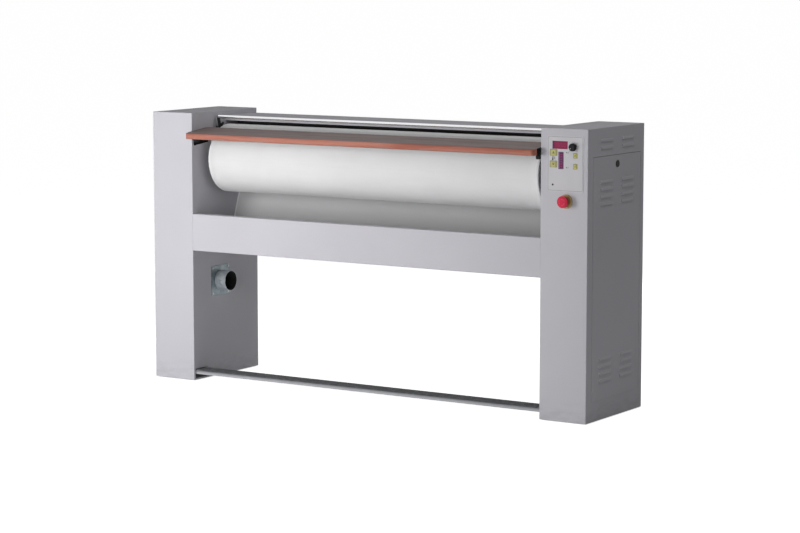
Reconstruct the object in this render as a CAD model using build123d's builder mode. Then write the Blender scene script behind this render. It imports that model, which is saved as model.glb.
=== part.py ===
from build123d import *
from math import acos, cos, pi, radians, sin, tan
import os

# Flatwork ironer: two sheet-metal columns carry a padded roller, a heated chest that
# swings against it from behind, a feed board, a finger guard, a linen tray and a foot bar.
# Millimetres.  +X runs along the roller to the operator's right, +Y to the back, +Z up.
# The origin is on the floor, at the middle of the machine's outline.

# ---------------------------------------------------------------- driving dimensions

# Columns
width = 1930                 # over the outer sheets of the two columns
height = 1050
column_width = 190
column_depth = 430
column_sheet = 2
column_edge_radius = 3
floor_gap = 3                # the sheets stop this far above the floor

# Service opening in each column's outer side, and its cover
cover_front_margin = 37
cover_back_margin = 26
cover_bottom_z = 73
cover_top_margin = 99        # from the column's top
cover_sheet = 1.5
cover_fold = 14              # how deep the folded edges reach inwards
seam_gap = 1.5
cover_seat_gap = 0.3         # under the cover's foot, which stands in the opening
cover_tab_width = 40
cover_tab_drop = 9
cover_tab_clearance = 1
cover_tab_lap = 4            # where the tab joins the cover's foot
lock_drop = 35               # lock axis below the top of the opening
lock_head_radius = 12
lock_head_rise = 3
lock_barrel_radius = 9
cam_length = 44
cam_width = 14
cam_sheet = 2.5

# Pressed louvres
louvre_length = 91
louvre_height = 12
louvre_rise = 4
louvre_sheet = 1.2
louvre_pitch = 26.5
louvre_column_spread = 160   # between the middles of the two columns of louvres
group_louvre_count = 4
top_louvre_count = 2
upper_group_drop = 230       # middle of each group below the column's top
top_group_drop = 56
lower_group_z = 184

# Roller
roller_left_gap = 27         # from the left column's inner face
roller_right_gap = 48
roller_setback = 200         # axis behind the columns' front
roller_drop = 183            # axis below the columns' top
roller_tube_radius = 125
roller_tube_wall = 4
padding_thickness = 8.5
end_disc_thickness = 8
end_disc_inset = 12
hub_radius = 42
hub_length = 22
left_journal_radius = 30
left_journal_bore = 24
right_journal_radius = 20
running_clearance = 0.05
small_clearance = 0.15

# Side frames inside the columns
frame_plate = 6
frame_edge_margin = 14
frame_bottom_z = 70
frame_top_drop = 46
base_plate_reach = 168
base_plate_margin = 48       # back edge of the base plate in front of the columns' back

# Flange bearings
bearing_flange = 112
bearing_flange_thickness = 12
bearing_hub_length = 28
bearing_ring = 16            # metal around the bore
bearing_clearance_hole = 8   # the side sheets clear the journals by this much

# Levelling feet
foot_pad_radius = 19
foot_pad_thickness = 11
foot_stud_radius = 6
foot_stud_top_z = 92
foot_inner_reach = 62
foot_outer_reach = 150
foot_front = 52
foot_back_margin = 85        # in front of the columns' back

# Gear drive in the right column
gear_module = 5
gear_teeth = 40
pinion_teeth = 18
gear_backlash = 0.4
gear_face_width = 24
gear_start = 50              # from the column's inner face
gear_web_thickness = 10
gear_rim = 14                # solid rim inside the teeth
gear_hub_radius = 34
gear_bolt_width = 19         # across the flats of the bolt head that holds the gear on
pressure_angle = 20
gearbox_start = 92
gearbox_width = 72
gearbox_depth = 136
gearbox_height = 150
gearbox_above_pinion = 40
pinion_shaft_radius = 14
pinion_shaft_seat = 22
spacer_width = 14
spacer_spread_y = 116
spacer_spread_z = 110
motor_radius = 48
motor_length = 190
motor_fins = 12
motor_collar = 12            # plain ring under the gearbox
motor_cap = 40               # plain cap at the motor's foot
motor_shift = 8              # motor's axis nearer the roller than the gearbox's middle
fin_rise = 5

# Heated chest
chest_gap = 2.0              # to the padding when the chest is closed
chest_thickness = 8
chest_from_angle = -50       # around the roller, from straight behind it
chest_to_angle = 60
cover_from_angle = -43          # the cover and the arms start above the chest's lower edge
chest_end_margin = 4         # past each end of the roller
feed_lip_radius = 22
feed_lip_sweep = 80
chest_pivot_margin = 70      # in front of the columns' back
chest_pivot_drop = 222       # below the roller's axis
chest_release = 2.5          # degrees that the chest falls back at rest
chest_shaft_radius = 12.5
chest_arm_thickness = 8
chest_hub_radius = 24
element_radius = 5
element_count = 4
element_end_inset = 40
cover_stand_off = 24
chest_cover_sheet = 1.5

# Pedal linkage
lever_start = 26             # from the column's inner face
lever_thickness = 8
chest_lever_length = 45
pedal_lever_horn = 50
pedal_pivot_z = 46
link_pin_radius = 4
link_eye_radius = 10
link_eye_thickness = 12
rod_radius = 5
rod_side_gap = 1
pedal_pin_radius = 6
pedal_front = 14             # front edge of the foot bar behind the columns' front
pedal_depth = 72
pedal_top_z = 43
pedal_lip = 17
pedal_sheet = 2.5
pedal_slot_clearance = 4
cheek = 5                    # side plates of the pedal's pivot brackets
cheek_gap = 4
cheek_top = 34
cheek_foot = 22
spring_seat_z = 400
shelf_overhang = 16          # of the springs' shelf past the rods' middle
shelf_depth = 36
shelf_sheet = 4
spring_length = 90
spring_radius = 9
spring_wire = 2.6
spring_turns = 4
spring_collar = 6

# Beam, tray and hood
beam_setback = 1
beam_drop = 392              # top of the beam below the columns' top
beam_height = 144
beam_sheet = 2
beam_flange = 26
beam_return = 12
tray_sheet = 1.5
tray_floor_rise = 22         # above the beam's bottom
tray_back_drop = 135         # top of the sloping back sheet below the roller's axis
tray_back_setback = 309.6    # of the same edge, behind the columns' front
tray_slope_run = 0.357       # how far the back sheet leans back for each unit of height
hood_sheet = 1.5
hood_drop = 20               # below the columns' top
hood_front_setback = 222
hood_front_drop = 18
hood_height = 508
hood_bottom_flange = 30
bend_radius = 3

# Feed board
board_overhang = 50
board_thickness = 23
board_back_setback = 104
board_corner_radius = 14
board_nose_radius = 8
board_tilt = 6.1
board_drop = 87              # mid thickness at the front edge, below the columns' top
bracket_sheet = 3
bracket_shelf = 19
bracket_drop = 34
bracket_front = 8
shelf_front = -6
cheek_front = 28             # the bracket's cheek, behind the board's front edge
bracket_back = 96
knob_setback = 8
knob_radius = 10.5
knob_neck = 5
knob_height = 17

# Finger guard
guard_setback = 150
guard_drop = 20.5            # below the columns' top
guard_tube_radius = 6.5
guard_tube_wall = 1.5
guard_pivot_setback = 162
guard_pivot_drop = 64
guard_arm_start = 14         # from the column's inner face, towards the roller
guard_arm_thickness = 4
guard_arm_radius = 8
guard_branch_setback = 181
guard_branch_drop = 47
guard_branch_radius = 4
guard_pin_radius = 5
guard_cam_start = 12         # behind the column's inner face
guard_cam_length = 26
guard_travel = 10            # degrees
guard_switch_size = 26
guard_switch_thickness = 16

# Control panel on the right column's front
panel_middle_reach = 100     # from the column's inner face
panel_width = 146
panel_height = 198
panel_drop = 124             # middle of the panel below the column's top
panel_thickness = 1.5
panel_corner_radius = 6
panel_window_margin = 12
display_width = 61
display_height = 28
display_offset_x = -21.5
display_offset_z = 66
bar_width = 15
bar_height = 58
bar_offset_x = -15.5
bar_offset_z = 11.5
window_thickness = 3
window_rise = 0.8
knob_offset_x = 32
knob_offset_z = 60
dial_radius = 13.5
dial_height = 15
dial_shaft_radius = 3
large_key = 20
large_key_offset_x = -47
upper_key_offset_z = 39
lower_key_offset_z = -2
small_key_width = 12
small_key_height = 14
small_key_offset_x = 40
key_rise = 2
key_depth = 8
key_travel = 1
stop_reach = 104
stop_drop = 257
stop_head_radius = 21.5
stop_head_thickness = 14
stop_rim = 4                 # bevels round the head
stop_stand_off = 19          # back of the head in front of the sheet
stop_stem_radius = 9
stop_collar_radius = 25
stop_collar_thickness = 7
stop_body_radius = 11
stop_travel = 6
contact_block = 34
board_sheet = 1.6            # the circuit board behind the panel
board_margin = 1
board_post = 5

# Suction fan and exhaust in the left column
spigot_setback = 176
spigot_drop = 133            # below the beam
spigot_radius = 39.5
spigot_wall = 1.5
spigot_length = 52
spigot_flange = 120
spigot_flange_sheet = 2
frame_window = 92            # opening in the side frame for the fan's outlet
fan_axis_reach = 100
fan_axis_rise = 51           # above the spigot's axis
fan_depth = 62
fan_wall = 1.5
scroll_radius = 84
impeller_radius = 58
impeller_depth = 46
impeller_blades = 12
blade_thickness = 1.6
fan_inlet_radius = 36
fan_shaft_radius = 6
fan_motor_radius = 44
fan_motor_length = 96
duct_wall = 1.5
duct_start = 42
duct_width = 82
duct_depth = 84
duct_chamber = 140
duct_chamber_drop = 77       # foot of the straight part below the roller's axis
duct_margin = 12             # below the fan's inlet
duct_lean = 60               # height over which the duct leans back

# Electrical parts in the right column
plate_start = 120
plate_sheet = 2
plate_bottom_z = 112
plate_motor_gap = 10         # below the motor
plate_front = 60
plate_depth = 300
leg_width = 18
leg_lap = 60                 # how far the legs overlap the plate
leg_back_inset = 30
contactor_width = 45
contactor_height = 76
contactor_depth = 42
contactor_count = 3
contactor_gap = 10
contactor_drop = 62          # middle below the plate's top
contactor_step = 12
contactor_shoulder = 16
terminal_height = 34
terminal_depth = 26
terminal_count = 10
terminal_pitch = 10
terminal_rise = 70           # middle above the plate's foot
terminal_pocket = 8
terminal_wall = 3
gland_radius = 13
gland_reach = 14
gland_bore = 6
gland_grip = 11              # length of the bore that holds the cable
gland_inner_bore = 7.5
gland_neck_radius = 10
gland_tail = 8
gland_z = 150

# ---------------------------------------------------------------- derived places

overall_depth = board_overhang + column_depth + gland_reach
front_y = board_overhang - overall_depth / 2
back_y = front_y + column_depth
middle_y = (front_y + back_y) / 2
inner_x = width / 2 - column_width
clear_width = 2 * inner_x

roller_y = front_y + roller_setback
roller_axis_z = height - roller_drop
roller_left_x = roller_left_gap - inner_x
roller_right_x = inner_x - roller_right_gap
roller_length = roller_right_x - roller_left_x
roller_radius = roller_tube_radius + padding_thickness

chest_pivot_y = back_y - chest_pivot_margin
chest_pivot_z = roller_axis_z - chest_pivot_drop
chest_left_x = roller_left_x - chest_end_margin
chest_right_x = roller_right_x + chest_end_margin
chest_length = chest_right_x - chest_left_x
chest_inner_radius = roller_radius + chest_gap
chest_outer_radius = chest_inner_radius + chest_thickness
chest_cover_radius = chest_outer_radius + cover_stand_off

rod_y = chest_pivot_y + chest_lever_length
pedal_pivot_y = rod_y - pedal_lever_horn
pedal_travel = chest_release * chest_lever_length / pedal_lever_horn
rod_middle_reach = lever_start + lever_thickness + rod_side_gap + link_eye_thickness / 2
shelf_reach = rod_middle_reach + shelf_overhang
foot_rows = (front_y + foot_front, back_y - foot_back_margin)

guard_pivot_y = front_y + guard_pivot_setback
guard_pivot_z = height - guard_pivot_drop
guard_y = front_y + guard_setback
guard_z = height - guard_drop
guard_pin_hole = guard_pin_radius + running_clearance

gear_pitch_radius = gear_module * gear_teeth / 2
pinion_pitch_radius = gear_module * pinion_teeth / 2
pinion_z = roller_axis_z - gear_pitch_radius - pinion_pitch_radius
gearbox_top_z = pinion_z + gearbox_above_pinion

cover_top_z = height - cover_top_margin
window_height = cover_top_z - cover_bottom_z
window_middle_z = (cover_top_z + cover_bottom_z) / 2
window_front_y = front_y + cover_front_margin
window_depth = column_depth - cover_front_margin - cover_back_margin
window_middle_y = window_front_y + window_depth / 2
lock_z = cover_top_z - lock_drop
cover_width = window_depth - 2 * (cover_sheet + seam_gap)
cover_foot_z = cover_bottom_z + cover_sheet + cover_seat_gap
cover_height = cover_top_z - cover_sheet - seam_gap - cover_foot_z
louvre_middle_y = window_middle_y
frame_top_z = height - frame_top_drop

beam_top_z = height - beam_drop
beam_bottom_z = beam_top_z - beam_height
tray_floor_z = beam_bottom_z + tray_floor_rise
tray_back_top_z = roller_axis_z - tray_back_drop
hood_top_z = height - hood_drop
hood_bottom_z = hood_top_z - hood_height
board_front_z = height - board_drop

panel_x = inner_x + panel_middle_reach
panel_middle_z = height - panel_drop
stop_x = inner_x + stop_reach
stop_z = height - stop_drop
spigot_y = front_y + spigot_setback
spigot_z = beam_bottom_z - spigot_drop
fan_axis_z = spigot_z + fan_axis_rise
frame_face = column_sheet + frame_plate

LEFT = -1
RIGHT = 1
SIDES = (LEFT, RIGHT)


os.makedirs("parts", exist_ok=True)


def reach(side, distance):
    """X of a place this far into a column from its inner face."""
    return side * (inner_x + distance)


def across(side, start, thickness):
    """Side plane (sketched in Y and Z) at the low-X face of a slab in a column."""
    return Plane.YZ.offset(min(reach(side, start), reach(side, start + thickness)))


def front_plane(y):
    """Upright plane (sketched in X and Z) that faces the operator."""
    return Plane.XZ.offset(-y)


def keep(builder, name):
    """Label a finished piece and write it."""
    builder.part.label = name
    export_step(builder.part, f"parts/{name}.step")


# ---------------------------------------------------------------- pressed louvres


def louvre_profile(side, face_x, z, inset):
    """Outline of one louvre across the sheet: a curved hood, open at its foot."""
    outer = face_x + side * (louvre_rise - inset)
    root = face_x - side * (cover_sheet + inset)
    top = z + louvre_height / 2 - inset
    foot = z - louvre_height / 2
    bulge = face_x + side * (louvre_rise - inset) * 0.72
    with BuildLine() as outline:
        Line((root, top), (face_x, top))
        ThreePointArc((face_x, top), (bulge, z + louvre_height * 0.12), (outer, foot))
        Line((outer, foot), (root, foot))
        Line((root, foot), (root, top))
    make_face(outline.edges())


def louvre_hoods(side, face_x, heights):
    """Raise a row of hoods on a sheet, then open the way in under each one."""
    for z in heights:
        for offset_y in (-louvre_column_spread / 2, louvre_column_spread / 2):
            end_y = louvre_middle_y + offset_y + louvre_length / 2
            with BuildSketch(front_plane(end_y)) as hood:
                louvre_profile(side, face_x, z, 0)
            extrude(hood.sketch, amount=louvre_length)
            with BuildSketch(front_plane(end_y - louvre_sheet)) as way_in:
                louvre_profile(side, face_x, z, louvre_sheet)
            inside_length = louvre_length - 2 * louvre_sheet
            extrude(way_in.sketch, amount=inside_length, mode=Mode.SUBTRACT)


def group_heights(middle_z, count):
    """Heights of one group's louvres, spread evenly about its middle."""
    return [middle_z + (i - (count - 1) / 2) * louvre_pitch for i in range(count)]


# ---------------------------------------------------------------- columns


def column_housing(side):
    """Folded column, open below, with a service opening in its outer side."""
    outer_x = side * width / 2
    pedal_slot_depth = pedal_depth + 2 * pedal_slot_clearance
    pedal_drop = (pedal_pivot_y - front_y - pedal_front) * sin(radians(pedal_travel))
    pedal_slot_bottom = pedal_top_z - pedal_lip - pedal_drop - pedal_slot_clearance
    pedal_slot_top = pedal_top_z + pedal_slot_clearance
    journal_radius = left_journal_radius if side == LEFT else right_journal_radius
    with BuildPart() as housing:
        with BuildSketch(Plane.XY.offset(floor_gap)):
            with Locations((side * (inner_x + column_width / 2), middle_y)):
                Rectangle(column_width, column_depth)
        extrude(amount=height - floor_gap)
        fillet(housing.edges().filter_by(Axis.Z), column_edge_radius)
        chamfer(housing.faces().sort_by(Axis.Z)[-1].edges(), column_edge_radius / 3)
        offset(amount=-column_sheet, openings=housing.faces().sort_by(Axis.Z)[0])
        # service opening, with its edges folded inwards
        opening = Plane.YZ.offset(outer_x - side * cover_fold)
        with BuildSketch(opening):
            with Locations((window_middle_y, window_middle_z)):
                Rectangle(window_depth, window_height)
        extrude(amount=side * cover_fold * 2, mode=Mode.SUBTRACT)
        with BuildSketch(opening):
            with Locations((window_middle_y, window_middle_z)):
                Rectangle(window_depth, window_height)
                Rectangle(
                    window_depth - 2 * cover_sheet,
                    window_height - 2 * cover_sheet,
                    mode=Mode.SUBTRACT,
                )
        extrude(amount=side * cover_fold)
        louvre_hoods(side, outer_x, group_heights(height - top_group_drop, top_louvre_count))
        # holes in the inner side
        with BuildSketch(across(side, 0, column_sheet)):
            with Locations((roller_y, roller_axis_z)):
                Circle(journal_radius + bearing_clearance_hole)
            with Locations((chest_pivot_y, chest_pivot_z)):
                Circle(chest_shaft_radius + 6)
            with Locations((guard_pivot_y, guard_pivot_z)):
                Circle(guard_pin_radius + 3)
            with Locations(
                (
                    front_y + pedal_front + pedal_depth / 2,
                    (pedal_slot_bottom + pedal_slot_top) / 2,
                )
            ):
                Rectangle(pedal_slot_depth, pedal_slot_top - pedal_slot_bottom)
            if side == LEFT:
                with Locations((spigot_y, spigot_z)):
                    Circle(spigot_radius)
        extrude(amount=column_sheet, mode=Mode.SUBTRACT)
        if side == RIGHT:
            with BuildSketch(front_plane(front_y + column_sheet)):
                with Locations((panel_x, panel_middle_z)):
                    Rectangle(
                        panel_width - 2 * panel_window_margin,
                        panel_height - 2 * panel_window_margin,
                    )
                with Locations((stop_x, stop_z)):
                    Circle(stop_body_radius + small_clearance)
            extrude(amount=column_sheet, mode=Mode.SUBTRACT)
            with BuildSketch(front_plane(back_y)):
                with Locations((panel_x, gland_z)):
                    Circle(gland_neck_radius)
            extrude(amount=column_sheet, mode=Mode.SUBTRACT)
    return housing


def side_frame(side):
    """Upright plate against the column's inner side, with a base plate and a spring tab."""
    journal_radius = left_journal_radius if side == LEFT else right_journal_radius
    plate_depth_all = column_depth - 2 * frame_edge_margin
    plate_height_all = frame_top_z - frame_bottom_z
    base_front_y = front_y + frame_edge_margin
    base_back_y = back_y - base_plate_margin
    with BuildPart() as frame:
        with BuildSketch(across(side, column_sheet, frame_plate)):
            with Locations((middle_y, (frame_top_z + frame_bottom_z) / 2)):
                Rectangle(plate_depth_all, plate_height_all)
            with Locations((roller_y, roller_axis_z)):
                Circle(journal_radius + bearing_clearance_hole, mode=Mode.SUBTRACT)
            with Locations((chest_pivot_y, chest_pivot_z)):
                Circle(chest_shaft_radius + running_clearance, mode=Mode.SUBTRACT)
            with Locations((guard_pivot_y, guard_pivot_z)):
                Circle(guard_pin_hole, mode=Mode.SUBTRACT)
            with Locations((spigot_y, spigot_z)):
                Rectangle(frame_window, frame_window, mode=Mode.SUBTRACT)
        extrude(amount=frame_plate)
        with BuildSketch(Plane.XY.offset(frame_bottom_z)):
            base_middle_x = reach(side, (column_sheet + base_plate_reach) / 2)
            with Locations((base_middle_x, (base_front_y + base_back_y) / 2)):
                Rectangle(base_plate_reach - column_sheet, base_back_y - base_front_y)
            for foot_reach in (foot_inner_reach, foot_outer_reach):
                for foot_y in foot_rows:
                    with Locations((reach(side, foot_reach), foot_y)):
                        Circle(foot_stud_radius + small_clearance, mode=Mode.SUBTRACT)
        extrude(amount=frame_plate)
        with BuildSketch(Plane.XY.offset(spring_seat_z)):
            with Locations((reach(side, (column_sheet + shelf_reach) / 2), rod_y)):
                Rectangle(shelf_reach - column_sheet, shelf_depth)
            with Locations((reach(side, rod_middle_reach), rod_y)):
                Circle(rod_radius + rod_side_gap, mode=Mode.SUBTRACT)
        extrude(amount=shelf_sheet)
    return frame


for side, word in ((LEFT, "left"), (RIGHT, "right")):
    keep(column_housing(side), f"{word}_column_housing")
    keep(side_frame(side), f"{word}_side_frame")


def side_cover(side):
    """Lift-off cover: a shallow pan with louvres, a lock hole and two tabs at its foot."""
    face_x = side * width / 2
    tab_plane_x = face_x - side * (cover_fold + cover_tab_clearance + cover_sheet)
    with BuildPart() as cover:
        with BuildSketch(Plane.YZ.offset(face_x)):
            with Locations((window_middle_y, cover_foot_z + cover_height / 2)):
                Rectangle(cover_width, cover_height)
        extrude(amount=-side * cover_fold)
        back = cover.faces().sort_by(Axis.X)[0 if side == RIGHT else -1]
        offset(amount=-cover_sheet, openings=back)
        heights = group_heights(height - upper_group_drop, group_louvre_count)
        heights += group_heights(lower_group_z, group_louvre_count)
        louvre_hoods(side, face_x, heights)
        with BuildSketch(Plane.YZ.offset(face_x)):
            with Locations((window_middle_y, lock_z)):
                Circle(lock_barrel_radius + running_clearance)
        extrude(amount=-side * cover_sheet, mode=Mode.SUBTRACT)
        with BuildSketch(Plane.YZ.offset(tab_plane_x)):
            for shift in (-cover_width / 3, cover_width / 3):
                with Locations((window_middle_y + shift, cover_foot_z + cover_tab_drop / 2)):
                    Rectangle(cover_tab_width, 3 * cover_tab_drop)
        extrude(amount=side * cover_sheet)
        with BuildSketch(Plane.XY.offset(cover_foot_z)):
            for shift in (-cover_width / 3, cover_width / 3):
                with Locations((tab_plane_x + side * cover_tab_lap / 2, window_middle_y + shift)):
                    Rectangle(cover_tab_lap, cover_tab_width)
        extrude(amount=cover_sheet)
    return cover


def cover_lock(side):
    """Cylinder lock: slotted head, barrel, and a cam that turns behind the frame's edge."""
    face_x = side * width / 2
    cam_face = cover_fold + cover_tab_clearance
    with BuildPart() as lock:
        with BuildSketch(Plane.YZ.offset(face_x)):
            with Locations((window_middle_y, lock_z)):
                Circle(lock_head_radius)
        extrude(amount=side * lock_head_rise)
        rim = lock.faces().sort_by(Axis.X)[-1 if side == RIGHT else 0]
        chamfer(rim.edges(), 1)
        with BuildSketch(Plane.YZ.offset(face_x)):
            with Locations((window_middle_y, lock_z)):
                Circle(lock_barrel_radius)
        extrude(amount=-side * (cam_face + cam_sheet))
        with BuildSketch(Plane.YZ.offset(face_x - side * cam_face)):
            with Locations((window_middle_y + cam_length / 2 - cam_width / 2, lock_z)):
                SlotOverall(cam_length, cam_width)
        extrude(amount=-side * cam_sheet)
        with BuildSketch(Plane.YZ.offset(face_x + side * lock_head_rise)):
            with Locations((window_middle_y, lock_z)):
                SlotOverall(lock_barrel_radius * 1.3, 3, rotation=90)
        extrude(amount=-side * 2, mode=Mode.SUBTRACT)
    return lock


for side, word in ((LEFT, "left"), (RIGHT, "right")):
    keep(side_cover(side), f"{word}_side_cover")
    keep(cover_lock(side), f"{word}_cover_lock")

# Levelling feet: round pad and stud each, standing under both base plates
with BuildPart() as levelling_feet:
    for side in SIDES:
        spots = [
            (reach(side, foot_reach), foot_y)
            for foot_reach in (foot_inner_reach, foot_outer_reach)
            for foot_y in foot_rows
        ]
        for radius, high in (
            (foot_pad_radius, foot_pad_thickness),
            (foot_stud_radius, foot_stud_top_z),
        ):
            with BuildSketch():
                with Locations(*spots):
                    Circle(radius)
            extrude(amount=high)
keep(levelling_feet, "levelling_feet")

# ---------------------------------------------------------------- beam, tray and hood


def folded_sheet(points, sheet, x_start, length, radius=bend_radius):
    """Sheet bent along a side-view line of (distance behind the front, height) points."""
    with BuildPart() as folded:
        with BuildSketch(Plane.YZ.offset(x_start)):
            with BuildLine():
                FilletPolyline(*[(front_y + y, z) for y, z in points], radius=radius)
            trace(line_width=sheet)
        extrude(amount=length)
    return folded


beam_web = beam_setback + beam_sheet / 2
beam_low = beam_bottom_z + beam_sheet / 2
beam_high = beam_top_z - beam_sheet / 2
front_beam = folded_sheet(
    [
        (beam_web + beam_flange, beam_low + beam_return),
        (beam_web + beam_flange, beam_low),
        (beam_web, beam_low),
        (beam_web, beam_high),
        (beam_web + beam_flange, beam_high),
    ],
    beam_sheet,
    -inner_x,
    clear_width,
)
keep(front_beam, "front_beam")


def slope_setback(z):
    """Where the sloping back sheet of the tray stands at a height."""
    return tray_back_setback - tray_slope_run * (tray_back_top_z - z)


tray_front = beam_web + beam_flange + beam_sheet / 2 + tray_sheet / 2
linen_tray = folded_sheet(
    [
        (tray_front, beam_top_z),
        (tray_front, tray_floor_z),
        (slope_setback(tray_floor_z), tray_floor_z),
        (slope_setback(tray_back_top_z), tray_back_top_z),
    ],
    tray_sheet,
    -inner_x,
    clear_width,
)
keep(linen_tray, "linen_tray")

hood_high = hood_top_z - hood_sheet / 2
hood_back = column_depth - hood_sheet / 2
rear_hood = folded_sheet(
    [
        (hood_front_setback, hood_high - hood_front_drop),
        (hood_front_setback, hood_high),
        (hood_back, hood_high),
        (hood_back, hood_bottom_z),
        (hood_back - hood_bottom_flange, hood_bottom_z),
    ],
    hood_sheet,
    -inner_x,
    clear_width,
)
keep(rear_hood, "rear_hood")

# ---------------------------------------------------------------- roller

with BuildPart() as roller_tube:
    with BuildSketch(Plane.YZ.offset(roller_left_x)):
        with Locations((roller_y, roller_axis_z)):
            Circle(roller_tube_radius)
            Circle(roller_tube_radius - roller_tube_wall, mode=Mode.SUBTRACT)
    extrude(amount=roller_length)
keep(roller_tube, "roller_tube")

with BuildPart() as roller_padding:
    with BuildSketch(Plane.YZ.offset(roller_left_x)):
        with Locations((roller_y, roller_axis_z)):
            Circle(roller_radius)
            Circle(roller_tube_radius, mode=Mode.SUBTRACT)
    extrude(amount=roller_length)
    ends = roller_padding.edges().filter_by(GeomType.CIRCLE).group_by(SortBy.RADIUS)[-1]
    chamfer(ends, 2)
keep(roller_padding, "roller_padding")

left_disc_x = roller_left_x + end_disc_inset
right_disc_x = roller_right_x - end_disc_inset - end_disc_thickness
disc_radius = roller_tube_radius - roller_tube_wall
with BuildPart() as roller_end_discs:
    for disc_x, bore in (
        (left_disc_x, left_journal_radius),
        (right_disc_x, right_journal_radius),
    ):
        with BuildSketch(Plane.YZ.offset(disc_x)):
            with Locations((roller_y, roller_axis_z)):
                Circle(disc_radius)
                Circle(bore, mode=Mode.SUBTRACT)
        extrude(amount=end_disc_thickness)
keep(roller_end_discs, "roller_end_discs")

left_journal_end = reach(LEFT, duct_start + 14)
with BuildPart() as left_journal:
    with BuildSketch(Plane.YZ.offset(left_journal_end)):
        with Locations((roller_y, roller_axis_z)):
            Circle(left_journal_radius)
            Circle(left_journal_bore, mode=Mode.SUBTRACT)
    extrude(amount=left_disc_x + end_disc_thickness + hub_length - left_journal_end)
    with BuildSketch(Plane.YZ.offset(left_disc_x + end_disc_thickness)):
        with Locations((roller_y, roller_axis_z)):
            Circle(hub_radius)
            Circle(left_journal_bore, mode=Mode.SUBTRACT)
    extrude(amount=hub_length)
keep(left_journal, "left_journal")

right_journal_start = right_disc_x - hub_length
right_journal_end = reach(RIGHT, gear_start + gear_face_width + 2)
with BuildPart() as right_journal:
    with BuildSketch(Plane.YZ.offset(right_journal_start)):
        with Locations((roller_y, roller_axis_z)):
            Circle(right_journal_radius)
    extrude(amount=right_journal_end - right_journal_start)
    with BuildSketch(Plane.YZ.offset(right_journal_start)):
        with Locations((roller_y, roller_axis_z)):
            Circle(hub_radius)
    extrude(amount=hub_length)
    # washer and bolt head that hold the gear on
    with BuildSketch(Plane.YZ.offset(right_journal_end)):
        with Locations((roller_y, roller_axis_z)):
            Circle(right_journal_radius + 6)
    extrude(amount=3)
    with BuildSketch(Plane.YZ.offset(right_journal_end + 3)):
        with Locations((roller_y, roller_axis_z)):
            RegularPolygon(gear_bolt_width / 2, 6, major_radius=False)
    extrude(amount=8)
keep(right_journal, "right_journal")

# ---------------------------------------------------------------- gear drive


def tooth_half_angle(radius, teeth):
    """Half the angle that an involute tooth fills at a radius, in radians."""
    pitch_radius = gear_module * teeth / 2
    base_radius = pitch_radius * cos(radians(pressure_angle))
    pitch_involute = tan(radians(pressure_angle)) - radians(pressure_angle)
    at_radius = acos(min(1, base_radius / radius))
    half_pitch = pi / (2 * teeth) - gear_backlash / (4 * pitch_radius)
    return half_pitch + pitch_involute - (tan(at_radius) - at_radius)


def tooth_outline(teeth):
    """Points round one tooth that points along the sketch's first direction."""
    pitch_radius = gear_module * teeth / 2
    root_radius = pitch_radius - 1.25 * gear_module
    tip_radius = pitch_radius + gear_module
    base_radius = pitch_radius * cos(radians(pressure_angle))
    start = max(base_radius, root_radius)
    steps = 2
    flank = [start + (tip_radius - start) * i / steps for i in range(steps + 1)]
    upper = [(r, tooth_half_angle(r, teeth)) for r in [root_radius - 1] + flank]
    upper[0] = (root_radius - 1, tooth_half_angle(start, teeth))
    outline = [(r * cos(a), r * sin(a)) for r, a in upper]
    outline += [(r * cos(a), -r * sin(a)) for r, a in reversed(upper)]
    return outline


def gear_blank(plane_x, middle_z, teeth):
    """Extrude a toothed disc about an axis along X."""
    with BuildSketch(mode=Mode.PRIVATE) as tooth:
        with BuildLine() as flanks:
            Polyline(*tooth_outline(teeth), close=True)
        make_face(flanks.edges())
    with BuildSketch(Plane.YZ.offset(plane_x)) as blank:
        with Locations((roller_y, middle_z)):
            Circle(gear_module * teeth / 2 - 1.25 * gear_module)
            with PolarLocations(0, teeth):
                add(tooth.sketch)
    extrude(blank.sketch, amount=gear_face_width)


with BuildPart() as roller_gear:
    gear_x = reach(RIGHT, gear_start)
    gear_blank(gear_x, roller_axis_z, gear_teeth)
    rim_inner = gear_pitch_radius - 1.25 * gear_module - gear_rim
    for recess_x in (gear_x, gear_x + (gear_face_width + gear_web_thickness) / 2):
        with BuildSketch(Plane.YZ.offset(recess_x)):
            with Locations((roller_y, roller_axis_z)):
                Circle(rim_inner)
                Circle(gear_hub_radius, mode=Mode.SUBTRACT)
        extrude(amount=(gear_face_width - gear_web_thickness) / 2, mode=Mode.SUBTRACT)
    with BuildSketch(Plane.YZ.offset(gear_x)):
        with Locations((roller_y, roller_axis_z)):
            Circle(right_journal_radius)
    extrude(amount=gear_face_width, mode=Mode.SUBTRACT)
keep(roller_gear, "roller_gear")

gearbox_x = reach(RIGHT, gearbox_start)
with BuildPart() as drive_pinion:
    gear_blank(reach(RIGHT, gear_start), pinion_z, pinion_teeth)
    with BuildSketch(Plane.YZ.offset(reach(RIGHT, gear_start))):
        with Locations((roller_y, pinion_z)):
            Circle(pinion_shaft_radius)
    extrude(amount=gearbox_start - gear_start + pinion_shaft_seat)
keep(drive_pinion, "drive_pinion")

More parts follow.
